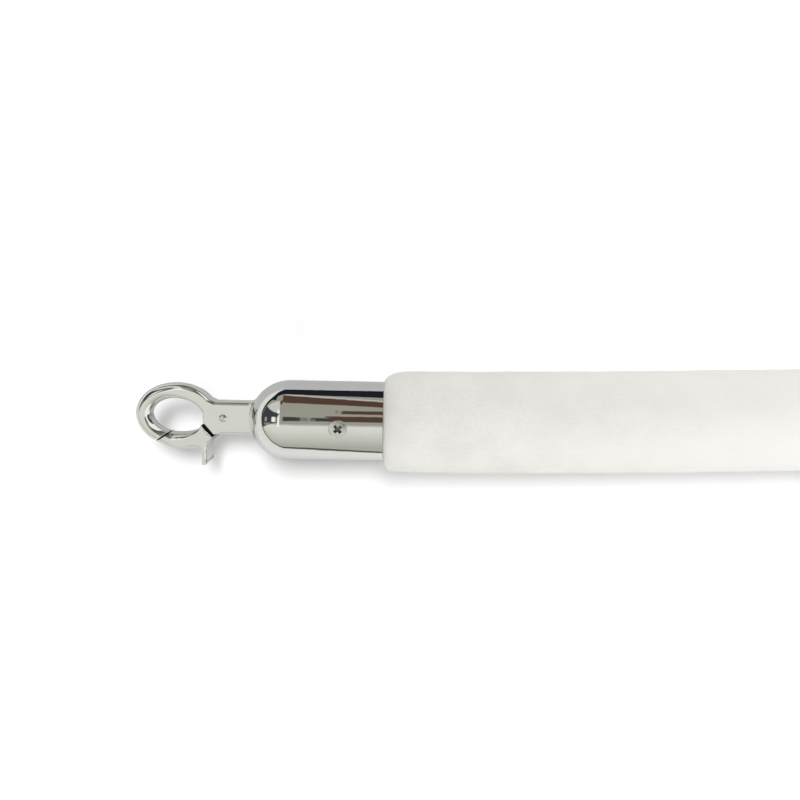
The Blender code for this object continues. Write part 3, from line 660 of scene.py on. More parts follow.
# %% Place of each fitting
def fitting_place(end):
    """Matrix from a fitting's own frame to the world."""
    low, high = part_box("ferrule_" + end)
    hinge = next(joint for joint in frame["joints"] if joint["child"] == "gate_" + end)
    roll = math.atan2(-hinge["axis"][1], hinge["axis"][2])
    mouth = Vector((high.x, (low.y + high.y) / 2, (low.z + high.z) / 2))
    return Matrix.Translation(mouth) @ Matrix.Rotation(roll, 4, "X")


FITTINGS = {end: fitting_place(end) for end in ("a", "b")}


def add_pair(name, mesh, slot_name, node, body=None):
    """The same piece on both fittings, on the rope or on a body of each fitting's own."""
    for end, place in FITTINGS.items():
        rides_on = f"{body}_{end}" if body else "rope"
        add_piece(f"{name}_{end}", placed(mesh, place), rides_on, slot_name, f"{node}_{end}")


for end, place in FITTINGS.items():
    print("fitting", end, "mouth", [round(v, 4) for v in place.translation])

# %% [markdown]
# ## Ferrule
# The ferrule is a thin cup, drawn or turned and then polished, with a hemispherical end. A turned profile
# gives it exactly: points of (x, radius) spun about the rope's axis. The CAD solid has a few dozen flats,
# which a mirror finish would show, so this one is spun in fine steps.

# %% Spin a profile, then cut the screw seats
FERRULE_LENGTH = 0.0415
FERRULE_WALL = 0.0014
FERRULE_UNDER_SLEEVE = 0.0002
STEM_HOLE = 0.00205
RIM_ROUND = 0.0003
CAD_GAP = 0.0003
TURN_STEPS = 192
SMALL_TURN_STEPS = 64
WELD = 1e-7
POLE_X = -FERRULE_LENGTH
DOME_X = POLE_X + FERRULE_RADIUS
SCREW_X = -0.0129
SCREW_LEAN = math.radians(-2.3)
SCREW_HEAD_RADIUS = 0.0026
SCREW_RADIUS = 0.00145
HEAD_EDGE = 0.00012
CONE_DEPTH = 0.0013
SEAT_GAP = 0.0001
SEAT_DEPTH = 0.004
SEAT_RISE = 0.001


def weld(shape):
    """Join the points that meet on the axis."""
    bmesh.ops.remove_doubles(shape, verts=shape.verts, dist=WELD)
    face_out(shape)


def spun(name, profile, steps, closed=False):
    """Turn (x, radius) points about the x axis; a closed profile is a ring, an open one ends on the axis."""
    rings = []
    for step in range(steps):
        angle = 2 * math.pi * step / steps
        rings.append([(x, r * math.cos(angle), r * math.sin(angle)) for x, r in profile])
    return reworked(ringed(name, rings, closed), weld)


def upright(mesh):
    """Stand a shape that was spun about x up on z."""
    mesh.transform(Matrix.Rotation(-math.pi / 2, 4, "Y"))
    return mesh


def arc(radius, start, end, count):
    """Points of (x, radius) on a ball about the dome's centre, by their angle from barrel to pole."""
    return [(DOME_X - radius * math.sin(a), radius * math.cos(a)) for a in np.linspace(start, end, count)]


def screw_place(side, height=0.0):
    """Matrix from an upright shape to a screw's place, on the upper or the lower side of the ferrule."""
    half_turn = 0.0 if side > 0 else math.pi
    return Matrix.Rotation(SCREW_LEAN + half_turn, 4, "X") @ Matrix.Translation((SCREW_X, 0, height))


def ferrule_profile():
    """Outer side from the mouth to the stem hole, then back along the inside."""
    inner = FERRULE_RADIUS - FERRULE_WALL
    mouth = CAD_GAP + FERRULE_UNDER_SLEEVE
    barrel = [(x, FERRULE_RADIUS) for x in np.linspace(mouth - RIM_ROUND, DOME_X, 40, endpoint=False)]
    dome = arc(FERRULE_RADIUS, 0, math.acos(STEM_HOLE / FERRULE_RADIUS), 40)
    inside = arc(inner, math.acos(STEM_HOLE / inner), 0, 14)
    rim = [(mouth - RIM_ROUND, inner), (mouth, inner + RIM_ROUND), (mouth, FERRULE_RADIUS - RIM_ROUND)]
    return barrel + dome + inside + rim


def screw_seat(side):
    """Countersunk hole through the wall."""
    wide = SCREW_HEAD_RADIUS + SEAT_GAP
    steps = [(-SEAT_DEPTH, 0.0), (-SEAT_DEPTH, SCREW_RADIUS), (-CONE_DEPTH, SCREW_RADIUS), (-HEAD_EDGE, wide),
             (SEAT_RISE, wide), (SEAT_RISE, 0.0)]
    profile = [(FERRULE_RADIUS + height, radius) for height, radius in steps]
    return placed(upright(spun("seat", profile, SMALL_TURN_STEPS)), screw_place(side))


ferrule_mesh = spun("ferrule", ferrule_profile(), TURN_STEPS, closed=True)
ferrule_mesh = combine(ferrule_mesh, "DIFFERENCE", screw_seat(1), screw_seat(-1))
finish_mesh(ferrule_mesh, FERRULE_CHROME)
add_pair("chrome_ferrule", ferrule_mesh, "polished_chrome", "ferrule")

# %% [markdown]
# ## Plates whose edges change their rounding
# The hook is one casting. Its shank is a flat plate with crisp edges, and its ring is a round bar, and the
# one runs into the other without a step. A bevel has one width, and joining a tube to a plate leaves a
# step, so the casting is built from its outline: each outline point carries its own rounding, small on the
# shank and nearly half the bar on the ring.

# %% Plate with its own rounding at each outline point
ROUND_STEPS = 10
FLAT_MARGIN = 0.00003
LEAST_MITRE = 0.45
LINE_STEP = 0.0003


def rounded_plate(name, outline, rounding, half):
    """Loops of points from the lower flat, round the edge, to the upper flat, with both flats closed."""
    places = np.array(outline)
    ahead = np.roll(places, -1, axis=0) - places
    ahead /= np.linalg.norm(ahead, axis=1)[:, None]
    lean = ahead + np.roll(ahead, 1, axis=0)
    lean /= np.linalg.norm(lean, axis=1)[:, None]
    inward = np.stack([-lean[:, 1], lean[:, 0]], axis=1)
    square = np.stack([-ahead[:, 1], ahead[:, 0]], axis=1)
    mitre = 1 / np.maximum(LEAST_MITRE, (inward * square).sum(axis=1))
    inward *= mitre[:, None]
    rounding = np.array(rounding)
    loops = []
    for step in range(ROUND_STEPS + 1):
        angle = math.pi / 2 * step / ROUND_STEPS
        loops.append((rounding * (1 - math.cos(angle)), half - rounding * (1 - math.sin(angle))))
    loops.append((rounding + FLAT_MARGIN, np.full(len(places), half)))
    loops = [(inset, -height) for inset, height in reversed(loops)] + loops
    return skinned(name, [np.column_stack([places + inward * inset[:, None], height])
                          for inset, height in loops])


def ellipse(centre, length, height, start, end, count):
    """Points of an ellipse between two angles in degrees."""
    angles = np.radians(np.linspace(start, end, count))
    return np.column_stack([centre[0] + length / 2 * np.cos(angles), centre[1] + height / 2 * np.sin(angles)])


def line(start, end, step=LINE_STEP):
    """Evenly spaced points from start towards end, without the end itself."""
    count = max(1, round(math.dist(start, end) / step))
    return np.linspace(start, end, count, endpoint=False)


def softened(points, corner, reach, rounds):
    """Round one corner of a closed outline by averaging the points near it."""
    points = np.array(points)
    near = np.linalg.norm(points - np.array(corner), axis=1) < reach
    for _ in range(rounds):
        middle = (np.roll(points, 1, axis=0) + np.roll(points, -1, axis=0)) / 2
        points[near] = middle[near]
    return points


def nearest(points, others):
    """Distance from each point to the nearest of the others."""
    return np.linalg.norm(points[:, None] - np.array(others)[None], axis=2).min(axis=1)


# %% [markdown]
# ## Hook
# The outline runs from the dome along the top of the shank, round the outside of the ring to its open end,
# back round the eye, down the nose that faces the gate and along the underside of the shank. The open end
# is cut at a slant, as on the real one, so that the gate can only swing outwards. A hollow fillet spreads
# the shank's foot onto the dome, and the eye is a little squarer by the gate's heel.

# %% Sizes of the hook and its joint with the gate
SHANK_TOP = 0.00565
SHANK_BOTTOM = -0.00465
HALF_THICKNESS = 0.0024
RING_CENTRE = Vector((-0.06455, 0.00085))
RING_SIZE = (0.0255, 0.0206)
EYE_CENTRE = Vector((-0.06415, 0.0009))
EYE_SIZE = (0.0164, 0.0111)
EYE_SQUARENESS = 2.45
BAR_DIAMETER = 0.0050
PIN = Vector((-0.0496, 0.0006))
NOSE_RADIUS = 0.0062
NOSE_ANGLE = math.radians(199)
GATE_GAP = 0.0011
JOINT_ANGLE = 237
JOINT_DEPTH = 0.4
JOINT_SLANT = math.radians(31)
JOINT_GAP = 0.00045
JOINT_LEAN = 0.12
NOSE_SEARCH = (0, -60, 2401)


def from_pin(angle, distance):
    """The point at an angle and a distance from the gate's pin."""
    return PIN + Vector((math.cos(angle), math.sin(angle))) * distance


NOSE_START = from_pin(NOSE_ANGLE, NOSE_RADIUS)
NOSE_END = Vector((PIN.x - math.sqrt(NOSE_RADIUS**2 - (PIN.y - SHANK_BOTTOM)**2), SHANK_BOTTOM))
NOSE_RUN = (NOSE_END - NOSE_START).normalized()
NOSE_OUT = Vector((NOSE_RUN.y, -NOSE_RUN.x))
joint_ring = [size - 2 * JOINT_DEPTH * BAR_DIAMETER for size in RING_SIZE]
JOINT = Vector(ellipse(RING_CENTRE, *joint_ring, JOINT_ANGLE, JOINT_ANGLE, 1)[0])
JOINT_OUT = Vector((math.sin(JOINT_SLANT), -math.cos(JOINT_SLANT)))


def eye_curve(start, end, count):
    """Points of the eye between two angles in degrees: an ellipse, squarer towards the gate's heel."""
    places = ellipse((0.0, 0.0), *EYE_SIZE, start, end, count)
    shares = places / (np.array(EYE_SIZE) / 2)
    fuller = np.sign(shares) * np.abs(shares)**(2 / EYE_SQUARENESS) * np.array(EYE_SIZE) / 2
    heel_side = (places[:, 0] > 0) & (places[:, 1] < 0)
    return np.where(heel_side[:, None], fuller, places) + np.array(EYE_CENTRE)


def eye_angle_at_nose(gap):
    """Angle in degrees where the eye meets the line of the nose, or a line beside it."""
    beyond = (eye_curve(*NOSE_SEARCH) - np.array(NOSE_START)) @ np.array(NOSE_OUT)
    return float(np.linspace(*NOSE_SEARCH)[np.argmax(beyond > gap)])


print("joint", [round(v, 5) for v in JOINT], "eye meets nose at", round(eye_angle_at_nose(0.0), 1), "degrees")

# %% Outline of the hook
BAR_END = 285
BAR_ROUND = 0.00235
BAR_FADES = (256, 280)
OUTER_GROWS = (42, 112)
EYE_GROWS = (55, 125)
CRISP_ROUND = 0.0010
NOSE_EDGE = 0.00015
CORNER_SHARE = 0.35
FOOT_FLARE = 0.0030
FOOT_ANGLE = math.radians(52)
FOOT_DEPTH = 0.0045
SHOULDER_REACH = 0.0011
SHOULDER_ROUNDS = 40


def bar_rounding(points, opposite, crisp, full):
    """Rounding from crisp to a round bar's as full goes from 0 to 1, kept under half the bar's own width."""
    return np.minimum(crisp + (BAR_ROUND - crisp) * full, nearest(points, opposite) / 2 - 2 * FLAT_MARGIN)


def corner_limit(points, rounding, corners):
    """Rounding that runs out towards sharp outward corners, so that the loops inside them don't cross."""
    return np.minimum(rounding, FLAT_MARGIN + CORNER_SHARE * nearest(points, corners))


def hook_outline():
    """Outline points and the rounding at each of them."""
    shoulder = math.degrees(math.asin((SHANK_TOP - RING_CENTRE.y) / (RING_SIZE[1] / 2)))
    outer_span = (shoulder, BAR_END, 180)
    eye_span = (BAR_END, eye_angle_at_nose(0.0), 200)
    outer, outer_angles = ellipse(RING_CENTRE, *RING_SIZE, *outer_span), np.linspace(*outer_span)
    eye, eye_angles = eye_curve(*eye_span), np.linspace(*eye_span)
    outer_full = eased(outer_angles, *OUTER_GROWS) * (1 - eased(outer_angles, *BAR_FADES))
    eye_full = eased(eye_angles, *EYE_GROWS) * (1 - eased(eye_angles, *BAR_FADES))
    foot = np.linspace(FOOT_ANGLE, 0, 12)
    flare_x = DOME_X - math.sqrt(FERRULE_RADIUS**2 - (SHANK_TOP + FOOT_FLARE * (1 - math.cos(FOOT_ANGLE)))**2)
    lift = FOOT_FLARE * (1 - np.cos(foot))
    run = flare_x - FOOT_FLARE * (math.sin(FOOT_ANGLE) - np.sin(foot))
    top_flare = np.column_stack([run, SHANK_TOP + lift])
    low_flare = np.column_stack([run, SHANK_BOTTOM - lift])[::-1]
    foot_top, foot_low = (np.array([(DOME_X - FOOT_DEPTH, y)]) for y in (top_flare[0][1], low_flare[-1][1]))
    shank_top = line(top_flare[-1], outer[0])[1:]
    nose = line(eye[-1], NOSE_END)[1:]
    underside = line(NOSE_END, low_flare[0])
    pieces = [(foot_top, CRISP_ROUND), (top_flare, CRISP_ROUND), (shank_top, CRISP_ROUND),
              (outer, bar_rounding(outer, eye, CRISP_ROUND, outer_full)),
              (eye, bar_rounding(eye, outer, CRISP_ROUND, eye_full)), (nose, NOSE_EDGE),
              (underside, CRISP_ROUND), (low_flare, CRISP_ROUND), (foot_low, CRISP_ROUND)]
    points = np.concatenate([piece for piece, _ in pieces])
    rounding = np.concatenate([np.broadcast_to(amount, len(piece)) for piece, amount in pieces])
    rounding = corner_limit(points, rounding, [outer[-1], eye[0], eye[-1], NOSE_END])
    return softened(points, outer[0], SHOULDER_REACH, SHOULDER_ROUNDS), rounding


hook_points, hook_rounding = hook_outline()
print("hook outline points:", len(hook_points))

# %% Cutters: the slant of the joint, the tongue's slot, the pin hole and the dome
TONGUE_WIDTH = 0.0026
TONGUE_THICKNESS = 0.0012
KNUCKLE_RADIUS = 0.0022
SLOT_WIDTH = 0.0030
SLOT_MARGIN = 0.0012
SWING = math.radians(25)
PIN_RADIUS = 0.00115
BORE_GAP = 0.00005
FOOT_GAP = 0.00002
TONGUE_ANGLE = math.atan2(NOSE_OUT.y, NOSE_OUT.x)
CUT_SIZE = 0.020


def side_block(point, out, lean=0.0):
    """A block with one face through a point, on the side that a direction points to, leaning with height."""
    shape = bmesh.new()
    bmesh.ops.create_cube(shape, size=CUT_SIZE)
    middle = Vector(point) + Vector(out) * CUT_SIZE / 2
    turn = Matrix.Rotation(math.atan2(out[1], out[0]), 4, "Z")
    bmesh.ops.transform(shape, matrix=Matrix.Translation((*middle, 0)) @ turn, verts=shape.verts)
    for corner in shape.verts:
        corner.co.xy += Vector(out) * (lean * corner.co.z)
    mesh = bpy.data.meshes.new("block")
    shape.to_mesh(mesh)
    shape.free()
    return mesh


def slab(name, outline, low, high):
    """A flat outline with square edges between two heights."""
    return skinned(name, [[(x, y, z) for x, y in outline] for z in (low, high)])


def tongue_slot():
    """The pocket round the pin, open over the tongue's swing."""
    half = TONGUE_WIDTH / 2 + JOINT_GAP
    pocket = KNUCKLE_RADIUS + SLOT_MARGIN
    lean = math.asin(half / pocket)
    spread = math.asin(half / (2 * NOSE_RADIUS))
    back = np.linspace(TONGUE_ANGLE + SWING + lean, TONGUE_ANGLE - lean + 2 * math.pi, 40)
    front = np.linspace(TONGUE_ANGLE - spread, TONGUE_ANGLE + SWING + spread, 12)
    outline = [from_pin(a, pocket) for a in back] + [from_pin(a, 2 * NOSE_RADIUS) for a in front]
    return slab("slot", outline, -SLOT_WIDTH / 2, SLOT_WIDTH / 2)


def pin_bore():
    """A round cutter through the shank at the pin."""
    circle = [from_pin(a, PIN_RADIUS + BORE_GAP) for a in np.linspace(0, 2 * math.pi, 48, endpoint=False)]
    return slab("bore", circle, -2 * HALF_THICKNESS, 2 * HALF_THICKNESS)


def dome_ball():
    """The dome's outside, a hair larger, to shape the foot of the shank."""
    radius = FERRULE_RADIUS + FOOT_GAP
    profile = [(DOME_X - radius * math.cos(a), radius * math.sin(a)) for a in np.linspace(0, math.pi, 97)]
    return spun("ball", profile, 128)


# %% Foot and stem of the hook, and its joint faces painted dark as shade
STEM_RADIUS = 0.0020
STEM_END_X = -0.0301
ROOT_LENGTH = 0.0030
ROOT_X = POLE_X - ROOT_LENGTH
FILLET_RADIUS = 0.0012
FILLET_REACH = 0.0007
FILLET_TURN = math.radians(80)
JOINT_DEEP = 0.00012
JOINT_SQUARE = 0.9


def foot_fillet():
    """The hollow curve by which the shank spreads onto the dome, on all four of its sides."""
    middle = (SHANK_TOP + SHANK_BOTTOM) / 2
    flat = np.array([SHANK_TOP - middle - CRISP_ROUND, HALF_THICKNESS - CRISP_ROUND])
    corners = np.array([(1, 1), (-1, 1), (-1, -1), (1, -1)])
    along = np.linspace(0, 1, 14)[1:-1, None]
    edge, out = [], []
    for quarter, (here, there) in enumerate(zip(corners, np.roll(corners, -1, axis=0))):
        angles = np.radians(np.linspace(90 * quarter, 90 * quarter + 90, 7))
        round_out = np.column_stack([np.cos(angles), np.sin(angles)])
        side_out = np.repeat(round_out[-1:], len(along), axis=0)
        out += [round_out, side_out]
        edge += [here * flat + round_out * CRISP_ROUND,
                 (here + (there - here) * along) * flat + side_out * CRISP_ROUND]
    out = np.concatenate(out)
    edge = np.concatenate(edge) + [middle, 0.0]
    start = DOME_X - np.sqrt(FERRULE_RADIUS**2 - (edge**2).sum(axis=1)) - FILLET_REACH
    loops = [np.column_stack([np.full(len(edge), ROOT_X), edge - out * FLAT_MARGIN])]
    for turn in np.linspace(0, FILLET_TURN, 10):
        spread = FILLET_RADIUS * (1 - math.cos(turn)) - FLAT_MARGIN
        loops.append(np.column_stack([start + FILLET_RADIUS * math.sin(turn), edge + out * spread]))
    loops.append(np.column_stack([np.full(len(edge), DOME_X), loops[-1][:, 1:]]))
    return skinned("fillet", loops)


def hook_stem():
    """The stem that goes through the dome, to its washer and nut."""
    profile = [(ROOT_X, 0.0), (ROOT_X, STEM_RADIUS), (STEM_END_X, STEM_RADIUS), (STEM_END_X, 0.0)]
    return spun("stem", profile, 32)


def paint_joint_shade(mesh, planes):
    """Give the faces that lie on a plane, each a point and its normal, the mesh's second finish: nearly black
    metal, painted shade for the joint and the gap.
    """
    for face in mesh.polygons:
        for point, out in planes:
            offset = (face.center.xy - point).dot(out)
            if abs(offset) < JOINT_DEEP and abs(face.normal.xy.dot(out)) > JOINT_SQUARE:
                face.material_index = 1


# %% Cast hook with its slot, bore and stem
hook_mesh = rounded_plate("hook", hook_points, hook_rounding, HALF_THICKNESS)
hook_mesh = combine(hook_mesh, "UNION", foot_fillet())
hook_mesh = combine(hook_mesh, "DIFFERENCE", dome_ball(), side_block(JOINT, JOINT_OUT))
hook_mesh = combine(hook_mesh, "UNION", hook_stem())
hook_mesh = combine(hook_mesh, "DIFFERENCE", tongue_slot(), pin_bore())
finish_mesh(reworked(hook_mesh, mend), HOOK_CHROME, GAP_SHADE_METAL)
paint_joint_shade(hook_mesh, [(NOSE_START, NOSE_OUT), (JOINT, JOINT_OUT)])
add_pair("cast_hook", hook_mesh, "polished_chrome", "hook")

# %% [markdown]
# ## Gate
# The gate closes the ring. Its outer side carries on the ring's curve, its inner side the eye's, and a
# narrow thumb lever stands out from its heel. It turns on the pin by a tongue that runs in the shank's
# slot. It is drawn like the hook, round where it meets the bar and crisp elsewhere, so that the two look
# like one ring when shut.

# %% Outline of the gate with its lever
GATE_SPAN = (200, 284, 84)
GATE_EYE_END = -160
GATE_OUTER_GROWS = (204, 224)
GATE_OUTER_FADES = (240, 278)
GATE_EYE_GROWS = (-156, -132)
GATE_EYE_FADES = (-100, -30)
GATE_CRISP = 0.0003
GATE_STEP = 0.00015
LEVER_WIDTH = 0.0016
LEVER_TIP = -0.0148
LEVER_ROUND = 0.00065
LEVER_CLEAR = (0.0005, 0.0018)
LEVER_OFFSET = 0.0067
LEVER_LEFT = PIN.x - LEVER_OFFSET - LEVER_WIDTH / 2
LEVER_RIGHT = LEVER_LEFT + LEVER_WIDTH
ROOT_RISE = 0.0006
HEEL_RISE = 0.0014
NOSE_ROUND = 0.0008
CORNER_RUN = 0.0007
CORNER_REACH = 0.0004
CORNER_ROUNDS = 6


def gate_outline():
    """Outline points and the rounding at each of them."""
    eye_span = (eye_angle_at_nose(GATE_GAP), GATE_EYE_END, 120)
    outer, outer_angles = ellipse(RING_CENTRE, *RING_SIZE, *GATE_SPAN), np.linspace(*GATE_SPAN)
    eye, eye_angles = eye_curve(*eye_span), np.linspace(*eye_span)
    outer_full = eased(outer_angles, *GATE_OUTER_GROWS) * (1 - eased(outer_angles, *GATE_OUTER_FADES))
    eye_full = eased(eye_angles, *GATE_EYE_GROWS) * np.interp(eye_angles, GATE_EYE_FADES, [1, 0])
    root = (LEVER_LEFT, outer[-1][1] + ROOT_RISE)
    heel = (LEVER_RIGHT, outer[-1][1] + HEEL_RISE)
    tip = [(LEVER_LEFT, LEVER_TIP), (LEVER_RIGHT, LEVER_TIP)]
    corner = NOSE_END + NOSE_OUT * GATE_GAP + NOSE_RUN * CORNER_RUN
    corners = [root, *tip, heel, corner]
    stops = [outer[-1], *corners, eye[0]]
    path = [line(here, there, GATE_STEP) for here, there in zip(stops, stops[1:])]
    path[0] = path[0][1:]
    flat = np.concatenate(path)
    on_lever = flat[:, 1] < min(root[1], heel[1])
    flat_full = on_lever * eased(nearest(flat, corners), *LEVER_CLEAR)
    flat_round = GATE_CRISP + (LEVER_ROUND - GATE_CRISP) * flat_full
    flat_round[-len(path[-1]):] = NOSE_ROUND
    points = np.concatenate([outer, flat, eye])
    rounding = np.concatenate([bar_rounding(outer, eye, GATE_CRISP, outer_full), flat_round,
                               bar_rounding(eye, outer, GATE_CRISP, eye_full)])
    rounding = corner_limit(points, rounding, [outer[0], *tip, corner, eye[0], eye[-1]])
    for sharp in corners:
        points = softened(points, sharp, CORNER_REACH, CORNER_ROUNDS)
    return points, rounding


gate_points, gate_rounding = gate_outline()
print("gate outline points:", len(gate_points))

# %% Draft of the lever, and the tongue
LEVER_DRAFT = 0.0009
TIP_DRAFT = 0.0018
DRAFT_REACH = 0.001
TONGUE_BITE = 0.0011
TONGUE_GAP = 0.00015


def drafted(mesh):
    """Lean the right side of heel and lever outwards and shorten the tip, both more towards the underside."""
    middle = (LEVER_LEFT + LEVER_RIGHT) / 2
    top = (NOSE_END + NOSE_OUT * GATE_GAP).y + DRAFT_REACH
    for point in mesh.vertices:
        depth = (HALF_THICKNESS - point.co.z) / (2 * HALF_THICKNESS)
        if point.co.x > middle:
            point.co.x += LEVER_DRAFT * depth * float(eased(top - point.co.y, 0.0, DRAFT_REACH))
        if point.co.y < LEVER_TIP + DRAFT_REACH:
            point.co.y += TIP_DRAFT * depth
    return mesh


def tongue():
    """A round knuckle on the pin with a straight tongue into the gate."""
    half = TONGUE_WIDTH / 2
    lean = math.asin(half / KNUCKLE_RADIUS)
    across = Vector((-NOSE_OUT.y, NOSE_OUT.x))
    tip = PIN + NOSE_OUT * ((NOSE_START - PIN).dot(NOSE_OUT) + GATE_GAP + TONGUE_BITE)
    knuckle = np.linspace(TONGUE_ANGLE + lean, TONGUE_ANGLE + 2 * math.pi - lean, 40)
    outline = [from_pin(a, KNUCKLE_RADIUS) for a in knuckle] + [tip - across * half, tip + across * half]
    top = SLOT_WIDTH / 2 - TONGUE_GAP
    return slab("tongue", outline, top - TONGUE_THICKNESS, top)


# %% Sprung gate with its tongue and bore
nose_plane = (NOSE_START + NOSE_OUT * GATE_GAP, NOSE_OUT)
joint_plane = (JOINT + JOINT_OUT * JOINT_GAP, JOINT_OUT)
gate_mesh = drafted(rounded_plate("gate", gate_points, gate_rounding, HALF_THICKNESS))
gate_mesh = combine(gate_mesh, "DIFFERENCE", side_block(joint_plane[0], -JOINT_OUT, -JOINT_LEAN))
gate_mesh = combine(gate_mesh, "UNION", tongue())
gate_mesh = combine(gate_mesh, "DIFFERENCE", pin_bore())
finish_mesh(gate_mesh, GATE_CHROME, GAP_SHADE_METAL)
paint_joint_shade(gate_mesh, [nose_plane, joint_plane])
# Painted shade: the gate's faces inside the gap, the tongue's among them, get the dark finish too.
for face in gate_mesh.polygons:
    in_gap = (face.center.xy - NOSE_START).dot(NOSE_OUT) < GATE_GAP - BORE_GAP
    if in_gap and face.center.y > SHANK_BOTTOM:
        face.material_index = 1
add_pair("sprung_gate", gate_mesh, "gate_chrome", "gate", body="gate")

# %% [markdown]
# ## Pin and screws
# The pin is riveted: its end is a shallow dome with a small dimple from the punch. The screws are
# countersunk with a cross recess, four of them alike, so one is modelled and Geometry Nodes put it in its
# four seats.

# %% Riveted pins
RIVET_CROWN = 0.00024
RIVET_DIMPLE = 0.00040
DIMPLE_DEPTH = 0.00026
DIMPLE_SLOPE = 0.6


def pin_profile():
    """Half of the pin's section, from one riveted end to the other."""
    crown = [(HALF_THICKNESS + RIVET_CROWN * (1 - (r / PIN_RADIUS)**2), r)
             for r in np.linspace(RIVET_DIMPLE, PIN_RADIUS, 10)]
    top = crown[0][0]
    side = [(top - DIMPLE_DEPTH, 0.0), (top - DIMPLE_DEPTH * DIMPLE_SLOPE, RIVET_DIMPLE / 2)] + crown
    return side + [(-x, r) for x, r in reversed(side)]


pin_mesh = spun("pin", pin_profile(), 48)
pin_mesh.transform(Matrix.Translation((*PIN, 0)) @ Matrix.Rotation(-math.pi / 2, 4, "Y"))
finish_mesh(pin_mesh, HOOK_CHROME)
add_pair("riveted_pin", pin_mesh, "plated_steel", "gate_pin")

# %% One countersunk screw with a cross recess
SCREW_LENGTH = 0.0080
POINT_LENGTH = 0.002
POINT_RADIUS = 0.0002
HEAD_CROWN = 0.00020
HEAD_SOFT = 0.00008
RECESS_SPAN = 0.0030
RECESS_WIDTH = 0.0010
SPAN_TAPER = 3.2
WIDTH_TAPER = 2.6
RECESS_DEPTH = 0.0009
RECESS_RISE = 0.0002
RECESS_REACH = 0.62
RECESS_STEEP = 0.93
RECESS_FLOOR = -0.0005


def wing(quarter):
    """One of the two crossed cutters of the recess, wider at the top than at its floor."""
    loops = []
    for span, width, z in ((RECESS_SPAN / SPAN_TAPER, RECESS_WIDTH / WIDTH_TAPER, -RECESS_DEPTH),
                           (RECESS_SPAN / 2, RECESS_WIDTH / 2, HEAD_CROWN + RECESS_RISE)):
        loops.append([(-span, -width, z), (span, -width, z), (span, width, z), (-span, width, z)])
    return placed(skinned("wing", loops), Matrix.Rotation(quarter, 4, "Z"))


def screw_mesh():
    """Slightly domed head, cone, shaft and point, standing on z with its head's rim at z = 0."""
    crown = [(HEAD_CROWN * (1 - (r / SCREW_HEAD_RADIUS)**2), r)
             for r in np.linspace(0, SCREW_HEAD_RADIUS - HEAD_SOFT, 12)]
    cone = [(-HEAD_EDGE / 2, SCREW_HEAD_RADIUS), (-HEAD_EDGE, SCREW_HEAD_RADIUS), (-CONE_DEPTH, SCREW_RADIUS)]
    shaft = [(-SCREW_LENGTH + POINT_LENGTH, SCREW_RADIUS), (-SCREW_LENGTH, POINT_RADIUS),
             (-SCREW_LENGTH, 0.0)]
    body = upright(spun("screw", crown + cone + shaft, SMALL_TURN_STEPS))
    body = combine(body, "DIFFERENCE", wing(0.0), wing(math.pi / 2))
    # Faces marked here as the cross recess are later given the darker finish, as painted shade.
    recess = body.attributes.new("recess", "BOOLEAN", "FACE")
    for face in body.polygons:
        middle = face.center
        inside = middle.xy.length < RECESS_SPAN * RECESS_REACH and middle.z > -RECESS_DEPTH - BORE_GAP
        cut = abs(face.normal.z) < RECESS_STEEP or middle.z < RECESS_FLOOR
        recess.data[face.index].value = inside and cut
    return body


one_screw = screw_mesh()
print("screw faces:", len(one_screw.polygons))

# %% Four screws in their seats
HEAD_SINK = 0.00010
SEAT_TURNS = {("a", 1): 42, ("a", -1): 15, ("b", 1): 70, ("b", -1): 5}


def screw_tree():
    """Put one screw at every seat point, turned as the point says."""
    tree, start, end = geometry_tree("screws", {"Screw": "NodeSocketObject", "Finish": "NodeSocketMaterial",
                                                "Recess shade finish": "NodeSocketMaterial"})
    shape = add_node(tree, "GeometryNodeObjectInfo", {"Object": start["Screw"]}).outputs["Geometry"]
    turned = add_node(tree, "FunctionNodeEulerToRotation", {"Euler": named(tree, "turn", "FLOAT_VECTOR")})
    seated = add_node(tree, "GeometryNodeInstanceOnPoints", {"Points": start["Geometry"], "Instance": shape,
                                                             "Rotation": turned})
    whole = add_node(tree, "GeometryNodeRealizeInstances", {"Geometry": seated})
    plain = add_node(tree, "GeometryNodeSetMaterial", {"Geometry": whole, "Material": start["Finish"]})
    # Painted shade: the faces of the cross recess get the darker finish.
    painted = add_node(tree, "GeometryNodeSetMaterial", {
        "Geometry": plain, "Selection": named(tree, "recess", "BOOLEAN"), "Material": start["Recess shade finish"]})
    fill(tree, end, {"Geometry": painted})
    return tree


seat_points, seat_turns = [], []
for (end, side), degrees in SEAT_TURNS.items():
    seat = FITTINGS[end] @ screw_place(side, FERRULE_RADIUS - HEAD_SINK)
    lie = seat.to_3x3() @ Matrix.Rotation(math.radians(degrees), 3, "Z")
    seat_points.append(tuple(seat.translation))
    seat_turns.append(tuple(lie.to_euler()))
seats = bpy.data.meshes.new("seats")
seats.from_pydata(seat_points, [], [])
turn_values = seats.attributes.new("turn", "FLOAT_VECTOR", "POINT")
turn_values.data.foreach_set("vector", np.array(seat_turns, dtype=np.float32).ravel())
pattern = add_object("pattern", one_screw)
screws_mesh = grow("cross_screws", seats, screw_tree(), {"Screw": pattern, "Finish": SCREW_STEEL,
                                                         "Recess shade finish": RECESS_SHADE_STEEL})
bpy.data.objects.remove(pattern, do_unlink=True)
finish_mesh(screws_mesh)
add_piece("cross_screws", screws_mesh, "rope", "plated_steel",
          "screw_top_a", "screw_under_a", "screw_top_b", "screw_under_b")

# %% [markdown]
# ## Pieces inside the ferrule
# The washer, nut, spring and wooden plug can't be seen on the finished rope, and their CAD solids have the
# right shape. They stay as they are and only get real finishes, for anyone who takes the model apart.

